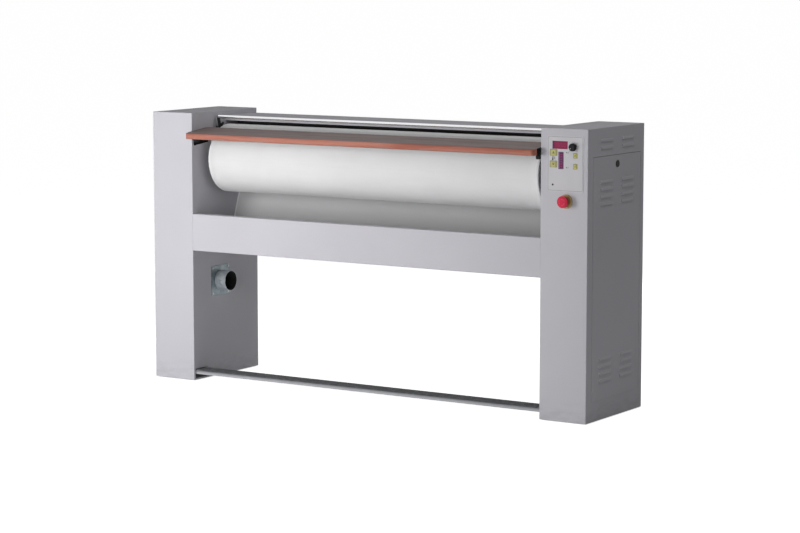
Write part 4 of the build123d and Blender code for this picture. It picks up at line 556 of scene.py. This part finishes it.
CAD_FINISH = (
    (powder_coat("column_paint", PAINT, 0.74, dirt=0.2), "left_column_housing right_column_housing"),
    (powder_coat("cover_paint", PAINT, 0.74, dirt=0.12), "left_side_cover right_side_cover"),
    (powder_coat("beam_paint", PAINT, 0.72), "front_beam"),
    (powder_coat("tray_paint", srgb(200, 200, 201), 0.7), "linen_tray"),
    (powder_coat("dark_paint", srgb(58, 59, 62), 0.45), "guard_arms chest_arms"),
    (powder_coat("black_paint", srgb(26, 26, 28), 0.42), "board_brackets"),
    # painted shade: the chest cover is near-black for the dark gap behind the guard tube
    (powder_coat("chest_cover_black", srgb(24, 24, 25), 0.6), "chest_cover"),
    (hood_coat(), "rear_hood"),
    (bar_coat(), "foot_pedal_bar"),
    (galvanised("galvanised_sheet"), "left_side_frame right_side_frame electrical_plate roller_end_discs"),
    (galvanised("galvanised_duct", tone=0.5, spangle=35), "suction_duct fan_housing fan_impeller"),
    (duct_collar(), "exhaust_spigot"),
    (lock_finish(), "left_cover_lock right_cover_lock"),
    (plated, "pedal_levers chest_levers pedal_brackets lift_rods"),
    (machined("shaft_steel", (0.56, 0.56, 0.57), 0.24),
     "left_journal right_journal chest_pivot_shaft roller_tube"),
    (machined("gear_steel", (0.42, 0.42, 0.43), 0.34, oil=0.55), "roller_gear drive_pinion"),
    (spring_steel, "return_springs"),
    (casting("gearbox_enamel", srgb(92, 104, 122)), "gearbox"),
    (casting("bearing_enamel", srgb(70, 92, 112), grain=340), "roller_bearings"),
    (casting("motor_enamel", srgb(74, 80, 88), grain=380, roughness=0.48), "drive_motor fan_motor"),
    (black_plastic, "guard_switch emergency_stop_contacts"),
    (knob_plastic, "board_knobs speed_dial"),
    (plastic("yellow_key_plastic", srgb(195, 190, 124), 0.5), "raise_key lower_key"),
    (plastic("pale_yellow_plastic", srgb(206, 200, 122), 0.5), "run_key mode_key"),
    (plastic("collar_yellow_plastic", srgb(190, 166, 112), 0.5, specular=0.2), "emergency_stop_collar"),
    (stop_plastic(), "emergency_stop_head"),
    (plastic("contact_plastic", srgb(196, 196, 188), 0.5), "contactors"),
    (plastic("terminal_plastic", srgb(168, 160, 136), 0.55), "terminal_block"),
    (plastic("gland_plastic", srgb(62, 64, 68), 0.5), "cable_gland"),
    (anodised(), "heated_chest"),
    (chrome(), "guard_tube"),
    (board_laminate(), "feed_board"),
    (heating_rod(), "heating_elements"),
    (membrane(), "control_panel"),
    (display_tint(), "display_windows"),
    (circuit_board(), "control_board"),
    (foot_finish(), "levelling_feet"),
    (felt_white, "roller_padding"),
)
for finish, names in CAD_FINISH:
    for name in names.split():
        slots = nodes[name].data.materials
        for i in range(len(slots)):
            slots[i] = finish
        if not slots:
            slots.append(finish)


# ------------------ mesh helpers


def piece(name, vertices, faces, material, body, slot_name, smooth_angle=35):
    """A mesh object from vertices in metres, riding on a body if one is given."""
    mesh = bpy.data.meshes.new(name)
    mesh.from_pydata([tuple(v) for v in vertices], [], faces)
    work = bmesh.new()
    work.from_mesh(mesh)
    bmesh.ops.recalc_face_normals(work, faces=work.faces)
    work.to_mesh(mesh)
    work.free()
    mesh.materials.append(material)
    for polygon in mesh.polygons:
        polygon.use_smooth = True
    mesh.set_sharp_from_angle(angle=math.radians(smooth_angle))
    made = bpy.data.objects.new(name, mesh)
    scene.collection.objects.link(made)
    if body:
        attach(made, body)
    return made


def strip(first, second, count, closed=True):
    """Quads between two rows of vertices, given by where each row starts."""
    return [
        (first + k, first + (k + 1) % count, second + (k + 1) % count, second + k)
        for k in range(count if closed else count - 1)
    ]


def lofts(skins):
    """Vertices and faces of skins, each through rings of points in mm. A skin whose last ring is its first one
    again runs round; any other ends in flat caps."""
    vertices, faces = [], []
    for rings in skins:
        n, looped = len(rings[0]), rings[0] == rings[-1]
        starts = [len(vertices) + n * r for r in range(len(rings) - looped)]
        vertices += [Vector(point) * MM for ring in rings[:len(starts)] for point in ring]
        for first, second in zip(starts, starts[1:] + starts[:looped]):
            faces += strip(first, second, n)
        if not looped:
            faces += [tuple(range(first, first + n)) for first in (starts[0], starts[-1])]
    return vertices, faces


def ring_radius(shape, angle):
    """Radius of a ring at an angle: a number is a circle, ("hex", width) a hexagon and
    ("cross", reach, width) a cross."""
    if not isinstance(shape, tuple):
        return shape
    kind, size, *width = shape
    sector = math.pi / 3 if kind == "hex" else math.pi / 2
    off = (angle + sector / 2) % sector - sector / 2
    if kind == "hex":
        return size / 2 / math.cos(off)
    return min(size / math.cos(off), width[0] / 2 / max(abs(math.sin(off)), 1e-6))


def turned(name, rings, spots, material, body, slot_name, segments=24):
    """Turned pieces that share one profile. rings: (shape, height) in mm, from the seat outwards.
    spots: (centre in mm, axis, turn in degrees)."""
    skins = []
    angles = [2 * math.pi * k / segments for k in range(segments)]
    for centre, axis, turn in spots:
        axis = Vector(axis).normalized()
        side = axis.orthogonal().normalized() if abs(axis.z) > 0.9 else Z.cross(axis).normalized()
        up = axis.cross(side)
        seat, twist = Vector(centre), math.radians(turn)
        ways = [(a, side * math.cos(a + twist) + up * math.sin(a + twist)) for a in angles]
        skins.append([
            [seat + axis * height + way * ring_radius(shape, a) for a, way in ways] for shape, height in rings])
    return piece(name, *lofts(skins), material, body, slot_name)


def hex_bolt(width, head, washer):
    """Rings of a hexagon head with a chamfered crown, on a round washer."""
    return [
        (width * 0.98, 0), (width * 0.98, washer),
        (("hex", width), washer), (("hex", width), washer + head * 0.86),
        (width * 0.46, washer + head), (width * 0.2, washer + head),
    ]


def pan_screw(radius, head):
    """Rings of a domed screw head with a cross recess."""
    return [
        (radius, 0), (radius, head * 0.35), (radius * 0.9, head * 0.72), (radius * 0.68, head * 0.97),
        (("cross", radius * 0.55, radius * 0.26), head), (("cross", radius * 0.42, radius * 0.18), head * 0.3),
    ]


def plates(name, outlines, face, thickness, material, body, slot_name):
    """Thin flat shapes that face the operator. outlines: rings of (x, z) in mm, or (outer, inner) pairs for
    frames. face is the seat's y in mm; the plates stand this thick in front of it."""
    front = face - thickness
    skins = []
    for outline in outlines:
        layers = [(outline, front), (outline, face)]
        if isinstance(outline, tuple):
            outer, inner = outline
            layers = [(outer, front), (outer, face), (inner, face), (inner, front), (outer, front)]
        skins.append([[(u, y, v) for u, v in ring] for ring, y in layers])
    return piece(name, *lofts(skins), material, body, slot_name, smooth_angle=30)


def polar(u, v, radius, degrees):
    """Point at an angle round (u, v)."""
    a = math.radians(degrees)
    return (u + radius * math.cos(a), v + radius * math.sin(a))


def rounded(u, v, width, height, radius):
    """Rounded rectangle about (u, v)."""
    points = []
    for sx, sz, start in ((1, 1, 0), (-1, 1, 90), (-1, -1, 180), (1, -1, 270)):
        centre = (u + sx * (width / 2 - radius), v + sz * (height / 2 - radius))
        points += [polar(*centre, radius, start + 22.5 * k) for k in range(5)]
    return points


def round_frame(u, v, width, height, radius, line):
    """Frame of one line's width, just inside a rounded rectangle."""
    inner = rounded(u, v, width - 2 * line, height - 2 * line, max(radius - line, 0.2))
    return (rounded(u, v, width, height, radius), inner)


def bar(u0, v0, u1, v1, line):
    """Straight stroke between two points."""
    run = Vector((u1 - u0, v1 - v0)).normalized()
    off = Vector((-run.y, run.x)) * line / 2
    ends = ((u0, v0, 1), (u1, v1, 1), (u1, v1, -1), (u0, v0, -1))
    return [(u + s * off.x, v + s * off.y) for u, v, s in ends]


def arc_stroke(u, v, radius, start, end, line, steps=12):
    """Curved stroke, angles in degrees."""
    outer, inner = (
        [polar(u, v, reach, start + (end - start) * k / steps) for k in range(steps + 1)]
        for reach in (radius + line / 2, radius - line / 2)
    )
    return outer + inner[::-1]


def disc(u, v, radius, steps=20):
    return [polar(u, v, radius, 360 * k / steps) for k in range(steps)]


def corners(name):
    """Low and high corner of a CAD node's box, in mm."""
    low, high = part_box(name)
    return [c / MM for c in low], [c / MM for c in high]


def centre_of(name):
    """Middle of a CAD node as the operator sees it, (x, z) in mm."""
    low, high = corners(name)
    return (low[0] + high[0]) / 2, (low[2] + high[2]) / 2


def front_of(name):
    return corners(name)[0][1]


# ------------------ roller cloth and felt

pad_low, pad_high = corners("roller_padding")
tube_low, tube_high = corners("roller_tube")
roller_y = (pad_low[1] + pad_high[1]) / 2
roller_z = (pad_low[2] + pad_high[2]) / 2
pad_radius = (pad_high[2] - pad_low[2]) / 2
tube_radius = (tube_high[2] - tube_low[2]) / 2

CLOTH = 0.7               # thickness
START = 250               # where its inner edge lies, in degrees from the back upwards
OVERLAP = 34              # degrees by which it laps over itself, up to its free edge
HEM = 13                  # width of the sewn hem at each end
GATHERS = 44
PLAIN = 40                # the cloth lies plain from here inwards
PLAIN_DEPTH = 0.5
CLOTH_END = (             # distance from the roller's end, depth under the outer face, share of gathering
    (1.0, 6.8, 1.0), (0.2, 5.0, 1.0), (0.5, 2.4, 0.8), (1.8, 0.9, 0.55), (4.2, 0.25, 0.3), (8.0, 0.0, 0.12),
    (HEM, 0.0, 0.04), (HEM + 0.4, 0.45, 0.03), (PLAIN, PLAIN_DEPTH, 0.0),
)


def roller_point(x, radius, angle):
    a = math.radians(angle)
    return Vector((x, roller_y + radius * math.cos(a), roller_z + radius * math.sin(a)))


def ripple(angle, seed):
    """Uneven gathers round an end."""
    a = math.radians(angle)
    return 0.6 * math.sin(GATHERS * a + 1.3 * math.sin(5 * a + seed)) + 0.4 * math.sin(31 * a + 2.1 * seed)


def roller_cloth():
    """Outer cloth: wound round the padding and over itself, hemmed, with its ends gathered over the padding."""
    steps, plain_spans = 216, 22
    first, last = START, START + 360 + OVERLAP
    climb, climb_run, climb_rise = first + 355, 10, CLOTH + 0.15    # onto its own start
    edge_run, edge_rise = 4.5, 0.35
    left, right = pad_low[0], pad_high[0]
    plain_width = right - left - 2 * PLAIN
    stations = [(left + inset, depth, gather) for inset, depth, gather in CLOTH_END]
    stations += [
        (left + PLAIN + plain_width * k / plain_spans, PLAIN_DEPTH, 0.0) for k in range(1, plain_spans)
    ]
    stations += [(right - inset, depth, gather) for inset, depth, gather in reversed(CLOTH_END)]
    columns = len(stations)
    vertices, faces = [], []
    for layer in (0.0, CLOTH):
        for k in range(steps + 1):
            angle = first + (last - first) * k / steps
            turn = (angle - first) / 360
            lap = max(0.0, min(1.0, (angle - climb) / climb_run)) * climb_rise
            edge = edge_rise if angle > last - edge_run else 0.0
            for x, depth, gather in stations:
                side = -1 if x < 0 else 1
                wobble = ripple(angle, 1.7 if x < 0 else 4.4) * gather
                long_wave = 0.12 * math.sin(math.radians(angle) * 9 + x * 0.011)
                long_wave += 0.08 * math.sin(x * 0.031 + turn * 5)
                radius = pad_radius - 0.25 - depth + lap + edge - layer + 0.7 * wobble + long_wave
                lift = 0.9 * wobble if depth > 2 else 0.0
                inward = layer if depth > 3 else 0.0
                vertices.append(roller_point(x + side * (lift - 0.4 * gather - inward), radius, angle) * MM)
    size = (steps + 1) * columns
    for base in (0, size):
        for k in range(steps):
            faces += strip(base + k * columns, base + (k + 1) * columns, columns, closed=False)
    for k in range(steps):
        for c in (0, columns - 1):
            a = k * columns + c
            faces.append((a, a + columns, a + columns + size, a + size))
    for k in (0, steps):
        faces += strip(k * columns, k * columns + size, columns, closed=False)
    made = piece("roller_cloth", vertices, faces, cloth_white, "roller", "roller_padding", smooth_angle=50)
    made.data.materials.append(hem_white)
    for polygon in made.data.polygons:
        x = polygon.center.x / MM
        if x < left + HEM + 0.2 or x > right - HEM - 0.2:
            polygon.material_index = 1
    return made


def roller_felt():
    """Felt padding under the cloth: a thick sleeve whose ends show inside the gathers."""
    outer, inner = pad_radius - 2.4, tube_radius + 0.15
    left, right = pad_low[0] + 1.6, pad_high[0] - 1.6
    end = ((1.2, inner), (0, inner + 1.2), (0, outer - 3), (1, outer - 1), (3.4, outer))
    profile = [(left + inset, radius) for inset, radius in end]
    profile += [(left + (right - left) * k / 12, outer) for k in range(1, 12)]
    profile += [(right - inset, radius) for inset, radius in reversed(end)]
    steps = 120
    rings = []
    for k in range(steps):
        angle = 360 * k / steps
        rings.append([])
        for x, radius in profile:
            if radius > inner + 2:
                radius += 0.25 * math.sin(math.radians(angle) * 13 + x * 0.02) - 0.3
            rings[-1].append(roller_point(x, radius, angle))
    skin = rings + rings[:1]
    return piece("roller_felt", *lofts([skin]), felt_white, "roller", "roller_padding", smooth_angle=50)


cloth = roller_cloth()
felt = roller_felt()
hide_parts("roller_padding")

# ------------------ control panel graphics

PRINT = 0.12              # how far a print stands on its seat
TICKS = 10                # marks round the dial's 270 degrees
RIBS = 18                 # of the dial's grip
SEGMENTS = {"0": "abcdef", "1": "bc", "5": "acdfg", "6": "acdefg"}

panel_x, panel_z = centre_of("control_panel")
panel_face = front_of("control_panel")
dial_low, dial_high = corners("speed_dial")
dial_x, dial_z = centre_of("speed_dial")
level_x, level_z = panel_x - 15.5, panel_z + 11.5
key_at = {word: centre_of(word + "_key") for word in ("raise", "lower", "run", "mode")}
KEY_PRINTS = (            # keys, then width, height and corner radius: frame, field and opening in the field
    (("raise", "lower"), (30, 24, 3), (29, 23, 2), (20.8, 20.8, 1)),
    (("run", "mode"), (17, 19, 2.4), (16, 18, 2), (12.8, 14.8, 1)),
)


def panel_print(name, outlines, material, thickness=PRINT):
    plates(name, outlines, panel_face, thickness, material, "frame", "control_panel")


def dial_point(radius, tick):
    return polar(dial_x, dial_z, radius, 225 - 270 * tick / (TICKS - 1))


outline = [round_frame(panel_x, panel_z, 139, 191, 5, 0.7)]
fields = []
for words, key_frame, field, opening in KEY_PRINTS:
    for word in words:
        outline.append(round_frame(*key_at[word], *key_frame, 0.5))
        fields.append((rounded(*key_at[word], *field), rounded(*key_at[word], *opening)))
outline += [bar(*dial_point(15.4, k), *dial_point(18, k), 0.7) for k in range(TICKS)]
level_field = (rounded(level_x - 2, level_z, 21.5, 61.5, 1.6), rounded(level_x, level_z, 15.3, 58.3, 0.3))
panel_print("panel_outlines", outline, grey_ink)
panel_print("key_fields", fields, key_field_ink, PRINT * 0.7)
panel_print("level_field", [level_field], level_field_ink, PRINT * 0.7)

# pictograms: a thermometer and a degree sign between the two large keys, dots and strokes right of the level
raise_x, raise_z = key_at["raise"]
between_z = (raise_z + key_at["lower"][1]) / 2
marks = [
    round_frame(raise_x - 3.6, between_z + 1.2, 4.4, 11.5, 2.1, 1.1),
    disc(raise_x - 3.6, between_z - 4.1, 3.0),
    bar(raise_x - 3.6, between_z - 4, raise_x - 3.6, between_z + 2.6, 1.4),
    arc_stroke(raise_x + 5.2, between_z + 0.6, 3.4, 60, 300, 1.7),
    disc(raise_x + 0.9, between_z + 4.8, 1.4, 12),
    disc(panel_x + 5, panel_z + 40, 1.9),
    disc(panel_x + 5, panel_z - 13, 1.9),
    bar(panel_x + 9.2, panel_z - 15, panel_x + 12.6, panel_z - 11, 0.8),
    bar(panel_x + 9.2, panel_z + 38, panel_x + 12.6, panel_z + 42, 0.8),
    bar(panel_x + 9.2, panel_z + 42, panel_x + 12.6, panel_z + 38, 0.8),
]
panel_print("panel_pictograms", marks, dark_ink)
turned(
    "panel_lamp",
    [(3.4, 0), (3.4, 0.9), (2.9, 1.3), (2.5, 1.0), (2.2, 1.5), (1.2, 1.9), (0.3, 2.0)],
    [((panel_x - 50, panel_face, panel_z - 75), (0, -1, 0), 0)],
    black_plastic, "frame", "control_panel",
)


def arrow(u, v, way):
    """Triangle with a stroke at its foot, pointing up (1) or down (-1)."""
    size = 4.6
    foot, stroke = v - way * size * 0.3, v - way * size * 0.75
    return [
        [(u - size, foot), (u + size, foot), (u, v + way * size * 0.9)],
        bar(u - size, stroke, u + size, stroke, size * 0.25),
    ]


run_x, run_z = key_at["run"]
mode_x, mode_z = key_at["mode"]
KEY_MARKS = (
    ("raise", grey_ink, arrow(raise_x, raise_z, 1)),
    ("lower", grey_ink, arrow(*key_at["lower"], -1)),
    ("run", dark_ink, [
        arc_stroke(run_x, run_z - 0.4, 2.9, 120, 420, 0.8, 18),
        bar(run_x, run_z - 0.2, run_x, run_z + 3.8, 0.8),
    ]),
    ("mode", dark_ink, [
        round_frame(mode_x, mode_z + 1.6, 7.4, 3.4, 1.6, 0.8),
        bar(mode_x - 3.6, mode_z - 2.6, mode_x + 3.6, mode_z - 2.6, 0.9),
    ]),
)
for word, key_ink, shapes in KEY_MARKS:
    plates(f"{word}_key_print", shapes, front_of(f"{word}_key"), PRINT, key_ink, f"key_{word}", f"{word}_key")


def digit(u, v, height, character):
    """Seven-segment digit."""
    half, side, line = height / 2, height / 4, height * 0.11
    ends = {
        "a": (-side, half, side, half), "g": (-side, 0, side, 0), "d": (-side, -half, side, -half),
        "f": (-side, 0, -side, half), "b": (side, 0, side, half),
        "e": (-side, -half, -side, 0), "c": (side, -half, side, 0),
    }
    gap = line * 0.6
    shapes = []
    for segment in SEGMENTS[character]:
        u0, v0, u1, v1 = ends[segment]
        gap_u, gap_v = (gap, 0) if v0 == v1 else (0, gap)
        shapes.append(bar(u + u0 + gap_u, v + v0 + gap_v, u + u1 - gap_u, v + v1 - gap_v, line))
    return shapes


readout = []
for k, character in enumerate("1650"):
    readout += digit(panel_x - 38.5 + 12 * k, panel_z + 66, 13, character)
for k in range(6):
    level = level_z - 21.5 + 8.6 * k
    readout.append(bar(level_x - 4, level, level_x + 4, level, 2.6))
plates("display_readout", readout, front_of("display_windows"), 0.08, glow_ink, "frame", "display_windows")


def dial_numbers():
    """Plain numerals at every third mark round the dial."""
    vertices, faces = [], []
    for k in range(0, TICKS, 3):
        curve = bpy.data.curves.new("numeral", "FONT")
        curve.body = str(k)
        curve.size = 4.6 * MM
        curve.extrude = PRINT / 2 * MM
        curve.align_x = curve.align_y = "CENTER"
        holder = bpy.data.objects.new("numeral", curve)
        scene.collection.objects.link(holder)
        bpy.context.view_layer.update()
        mesh = bpy.data.meshes.new_from_object(holder.evaluated_get(bpy.context.evaluated_depsgraph_get()))
        u, v = dial_point(21.4, k)
        seat = Vector((u, panel_face - PRINT / 2, v)) * MM
        place = Matrix.Translation(seat) @ Matrix.Rotation(math.pi / 2, 4, "X")
        start = len(vertices)
        vertices += [place @ p.co for p in mesh.vertices]
        faces += [tuple(start + i for i in polygon.vertices) for polygon in mesh.polygons]
        bpy.data.objects.remove(holder)
        bpy.data.curves.remove(curve)
        bpy.data.meshes.remove(mesh)
    return piece("dial_numbers", vertices, faces, dark_ink, "frame", "control_panel", smooth_angle=30)


def dial_grip():
    """Ribbed sleeve round the dial."""
    steps = RIBS * 6
    rim = (dial_high[0] - dial_low[0]) / 2
    foot = panel_face - 0.2
    rings = []
    for height, rise in ((1.5, 0.15), (3.0, 0.45), (9.5, 0.35), (11.0, 0.1), (11.0, None), (1.5, None)):
        rings.append([])
        for k in range(steps):
            degrees = 360 * k / steps
            radius = rim - 0.6               # the sleeve's inner face, inside the dial
            if rise is not None:
                radius = rim + rise * (0.5 + 0.5 * math.cos(math.radians(degrees) * RIBS)) + 0.02
            u, v = polar(dial_x, dial_z, radius, degrees)
            rings[-1].append((u, foot - height, v))
    skin = rings + rings[:1]
    return piece("dial_grip", *lofts([skin]), knob_plastic, "dial", "speed_dial", smooth_angle=60)


dial_numbers()
dial_grip()
pointer = bar(*dial_point(4, 0), *dial_point(9.6, 0), 1.3)
plates("dial_pointer", [pointer], dial_low[1], PRINT, white_ink, "dial", "speed_dial")

# emergency stop: three turning arrows on the cap
STOP = "emergency_stop_head"
stop_at = centre_of(STOP)
arrows = []
for start in (20, 140, 260):
    end = start + 62
    tip = ((8.6, end), (13.8, end), (11.2, end + 24))
    arrows += [arc_stroke(*stop_at, 11.2, start, end, 1.9, 10), [polar(*stop_at, *point) for point in tip]]
plates("stop_arrows", arrows, front_of(STOP), PRINT, stop_ink, "stop_head", STOP)

# ------------------ locks, screws and bolts

LOCK_Y = 23.5
SPIGOT_FLANGE = 4         # thickness
BEARING_FACE = 795
SHEET_SCREW = pan_screw(4.5, 2.6)
FOOT_NUT = [(8, 0), (("hex", 19), 0.4), (("hex", 19), 8.6), (8.4, 9.2), (6.2, 9.2)]
LOCK_RING = [(12.4, -2.9), (12.9, -2.2), (12.9, -0.9), (12.2, -0.1), (11.2, 0.05), (10.6, -0.5)]

for word, s in (("left", -1), ("right", 1)):
    low, high = corners(f"{word}_cover_lock")
    face_x = (high if s > 0 else low)[0]
    turned(
        f"{word}_lock_escutcheon", LOCK_RING,
        [((face_x, LOCK_Y, (low[2] + high[2]) / 2), (s, 0, 0), 0)],
        knob_plastic, f"{word}_cover", f"{word}_cover_lock", segments=32,
    )

spigot_x = corners("exhaust_spigot")[0][0] + SPIGOT_FLANGE
hood_low, hood_high = corners("rear_hood")
hood_rows = (hood_low[2] + 18, hood_high[2] - 22)
back = hood_high[1]
gear_low, gear_high = corners("gearbox")
gear_z = (gear_low[2] + gear_high[2]) / 2
gear_bolts = enumerate((dy, dz) for dz in (-60, 0, 60) for dy in (-52, 52))
bearing_bolts = list(enumerate((dy, dz) for dz in (-41, 41) for dy in (-41, 41)))
FASTENERS = (             # name, profile, slot, and (seat, axis, turn) of each
    ("spigot_screws", pan_screw(4, 2.4), "exhaust_spigot", [
        ((spigot_x, y, z), (1, 0, 0), 20) for y in (-71, 29) for z in (331, 431)]),
    ("hood_screws", SHEET_SCREW, "rear_hood", [
        ((-735 + 245 * k, back, z), (0, 1, 0), 17 * k) for k in range(7) for z in hood_rows]),
    ("column_back_screws", SHEET_SCREW, "right_column_housing", [
        ((s * x, back, z), (0, 1, 0), z) for s in (-1, 1) for x in (790, 950) for z in (40, 370, 700, 1020)]),
    ("gearbox_bolts", hex_bolt(13, 6, 1.4), "gearbox", [
        ((gear_high[0], roller_y + dy, gear_z + dz), (1, 0, 0), 11 * k) for k, (dy, dz) in gear_bolts]),
    ("bearing_bolts", hex_bolt(16, 7, 1.6), "roller_bearings", [
        ((s * BEARING_FACE, roller_y + dy, roller_z + dz), (s, 0, 0), 13 * k)
        for s in (-1, 1) for k, (dy, dz) in bearing_bolts]),
    ("foot_nuts", FOOT_NUT, "levelling_feet", [
        ((s * x, y, z), (0, 0, 1), 10)
        for s in (-1, 1) for x in (837, 925) for y in (-145, 148) for z in (59.5, 76.5)]),
)
for name, rings, slot_name, spots in FASTENERS:
    turned(name, rings, spots, plated, "frame", slot_name)

# ------------------ tray hems, return springs, foot bar tread

HEM_FOOT, HEM_HEAD = (45, 541), (111.8, 730.6)   # (y, z) of the tray's sloping back
WIRE = 1.3                # radius
SPRING_TURNS = 6
COIL_RADIUS = 9
TREAD_REACH = 760
TREAD_RIBS = 9


def tray_hems():
    """Folded hems that stiffen the ends of the tray's sloping back, painted lighter than the tray as a
    highlight.
    """
    run_y, run_z = HEM_HEAD[0] - HEM_FOOT[0], HEM_HEAD[1] - HEM_FOOT[1]
    slope = math.hypot(run_y, run_z)
    out_y, out_z = -run_z / slope, run_y / slope
    edge = corners("linen_tray")[1][0]
    profile = ((0.2, 0.05), (0.2, 1.1), (0.8, 1.7), (4.6, 1.7), (5.2, 1.1), (5.2, 0.05))
    skins = [[
        [(s * (edge - inset), y + out_y * rise, z + out_z * rise) for inset, rise in profile]
        for y, z in (HEM_FOOT, HEM_HEAD)] for s in (-1, 1)]
    return piece("tray_hems", *lofts(skins), hem_highlight_paint, "frame", "linen_tray")


def return_coils(low, high):
    """Round-wire springs with closed ends, in the CAD springs' box: their feet ride on the rods' collars and
    their heads stay on the frames' shelves."""
    steps, sides = 24, 8
    closed = 2 * WIRE         # rise of an end turn
    free = high[2] - low[2] - 2 * WIRE
    x, y, foot = high[0] - COIL_RADIUS - WIRE, (low[1] + high[1]) / 2, low[2] + WIRE
    section = [polar(COIL_RADIUS, 0, WIRE, 360 * j / sides) for j in range(sides)]
    skins = []
    for s in (-1, 1):
        skins.append([])
        for k in range(steps * SPRING_TURNS + 1):
            turn = k / steps
            if turn < 1:
                rise = closed * turn
            elif turn > SPRING_TURNS - 1:
                rise = free - closed * (SPRING_TURNS - turn)
            else:
                rise = closed + (free - 2 * closed) * (turn - 1) / (SPRING_TURNS - 2)
            skins[-1].append([(*polar(s * x, y, reach, 360 * turn), foot + rise + up) for reach, up in section])
    return piece("return_coils", *lofts(skins), spring_steel, None, "return_springs", smooth_angle=60)


def tread():
    """Ribbed rubber strip on the foot bar, with a lip over the bar's front edge."""
    low, high = corners("foot_pedal_bar")
    front, top = low[1], high[2]
    start, end = front + 3.5, high[1] - 8
    pitch = (end - start) / TREAD_RIBS
    lip = ((0.05, 0.02), (0.05, -3.4), (0.9, -3.0), (1.1, -1.0), (0.4, 0.4))
    rib = ((0.3, 0.5), (0.42, 1.4), (0.7, 1.4), (0.82, 0.5))
    profile = [(front - out, rise) for out, rise in lip] + [(start, 0.6)]
    profile += [(start + (k + at) * pitch, rise) for k in range(TREAD_RIBS) for at, rise in rib]
    profile.append((end, 0.02))
    cuts = 40
    skin = [[(TREAD_REACH * (2 * k / cuts - 1), y, top + rise) for y, rise in profile] for k in range(cuts + 1)]
    return piece("foot_bar_tread", *lofts([skin]), tread_rubber, "pedal", "foot_pedal_bar", smooth_angle=25)


tray_hems()
spring_low, spring_high = corners("return_springs")
coils = return_coils(spring_low, spring_high)
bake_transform(coils)
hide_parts("return_springs")
tread()
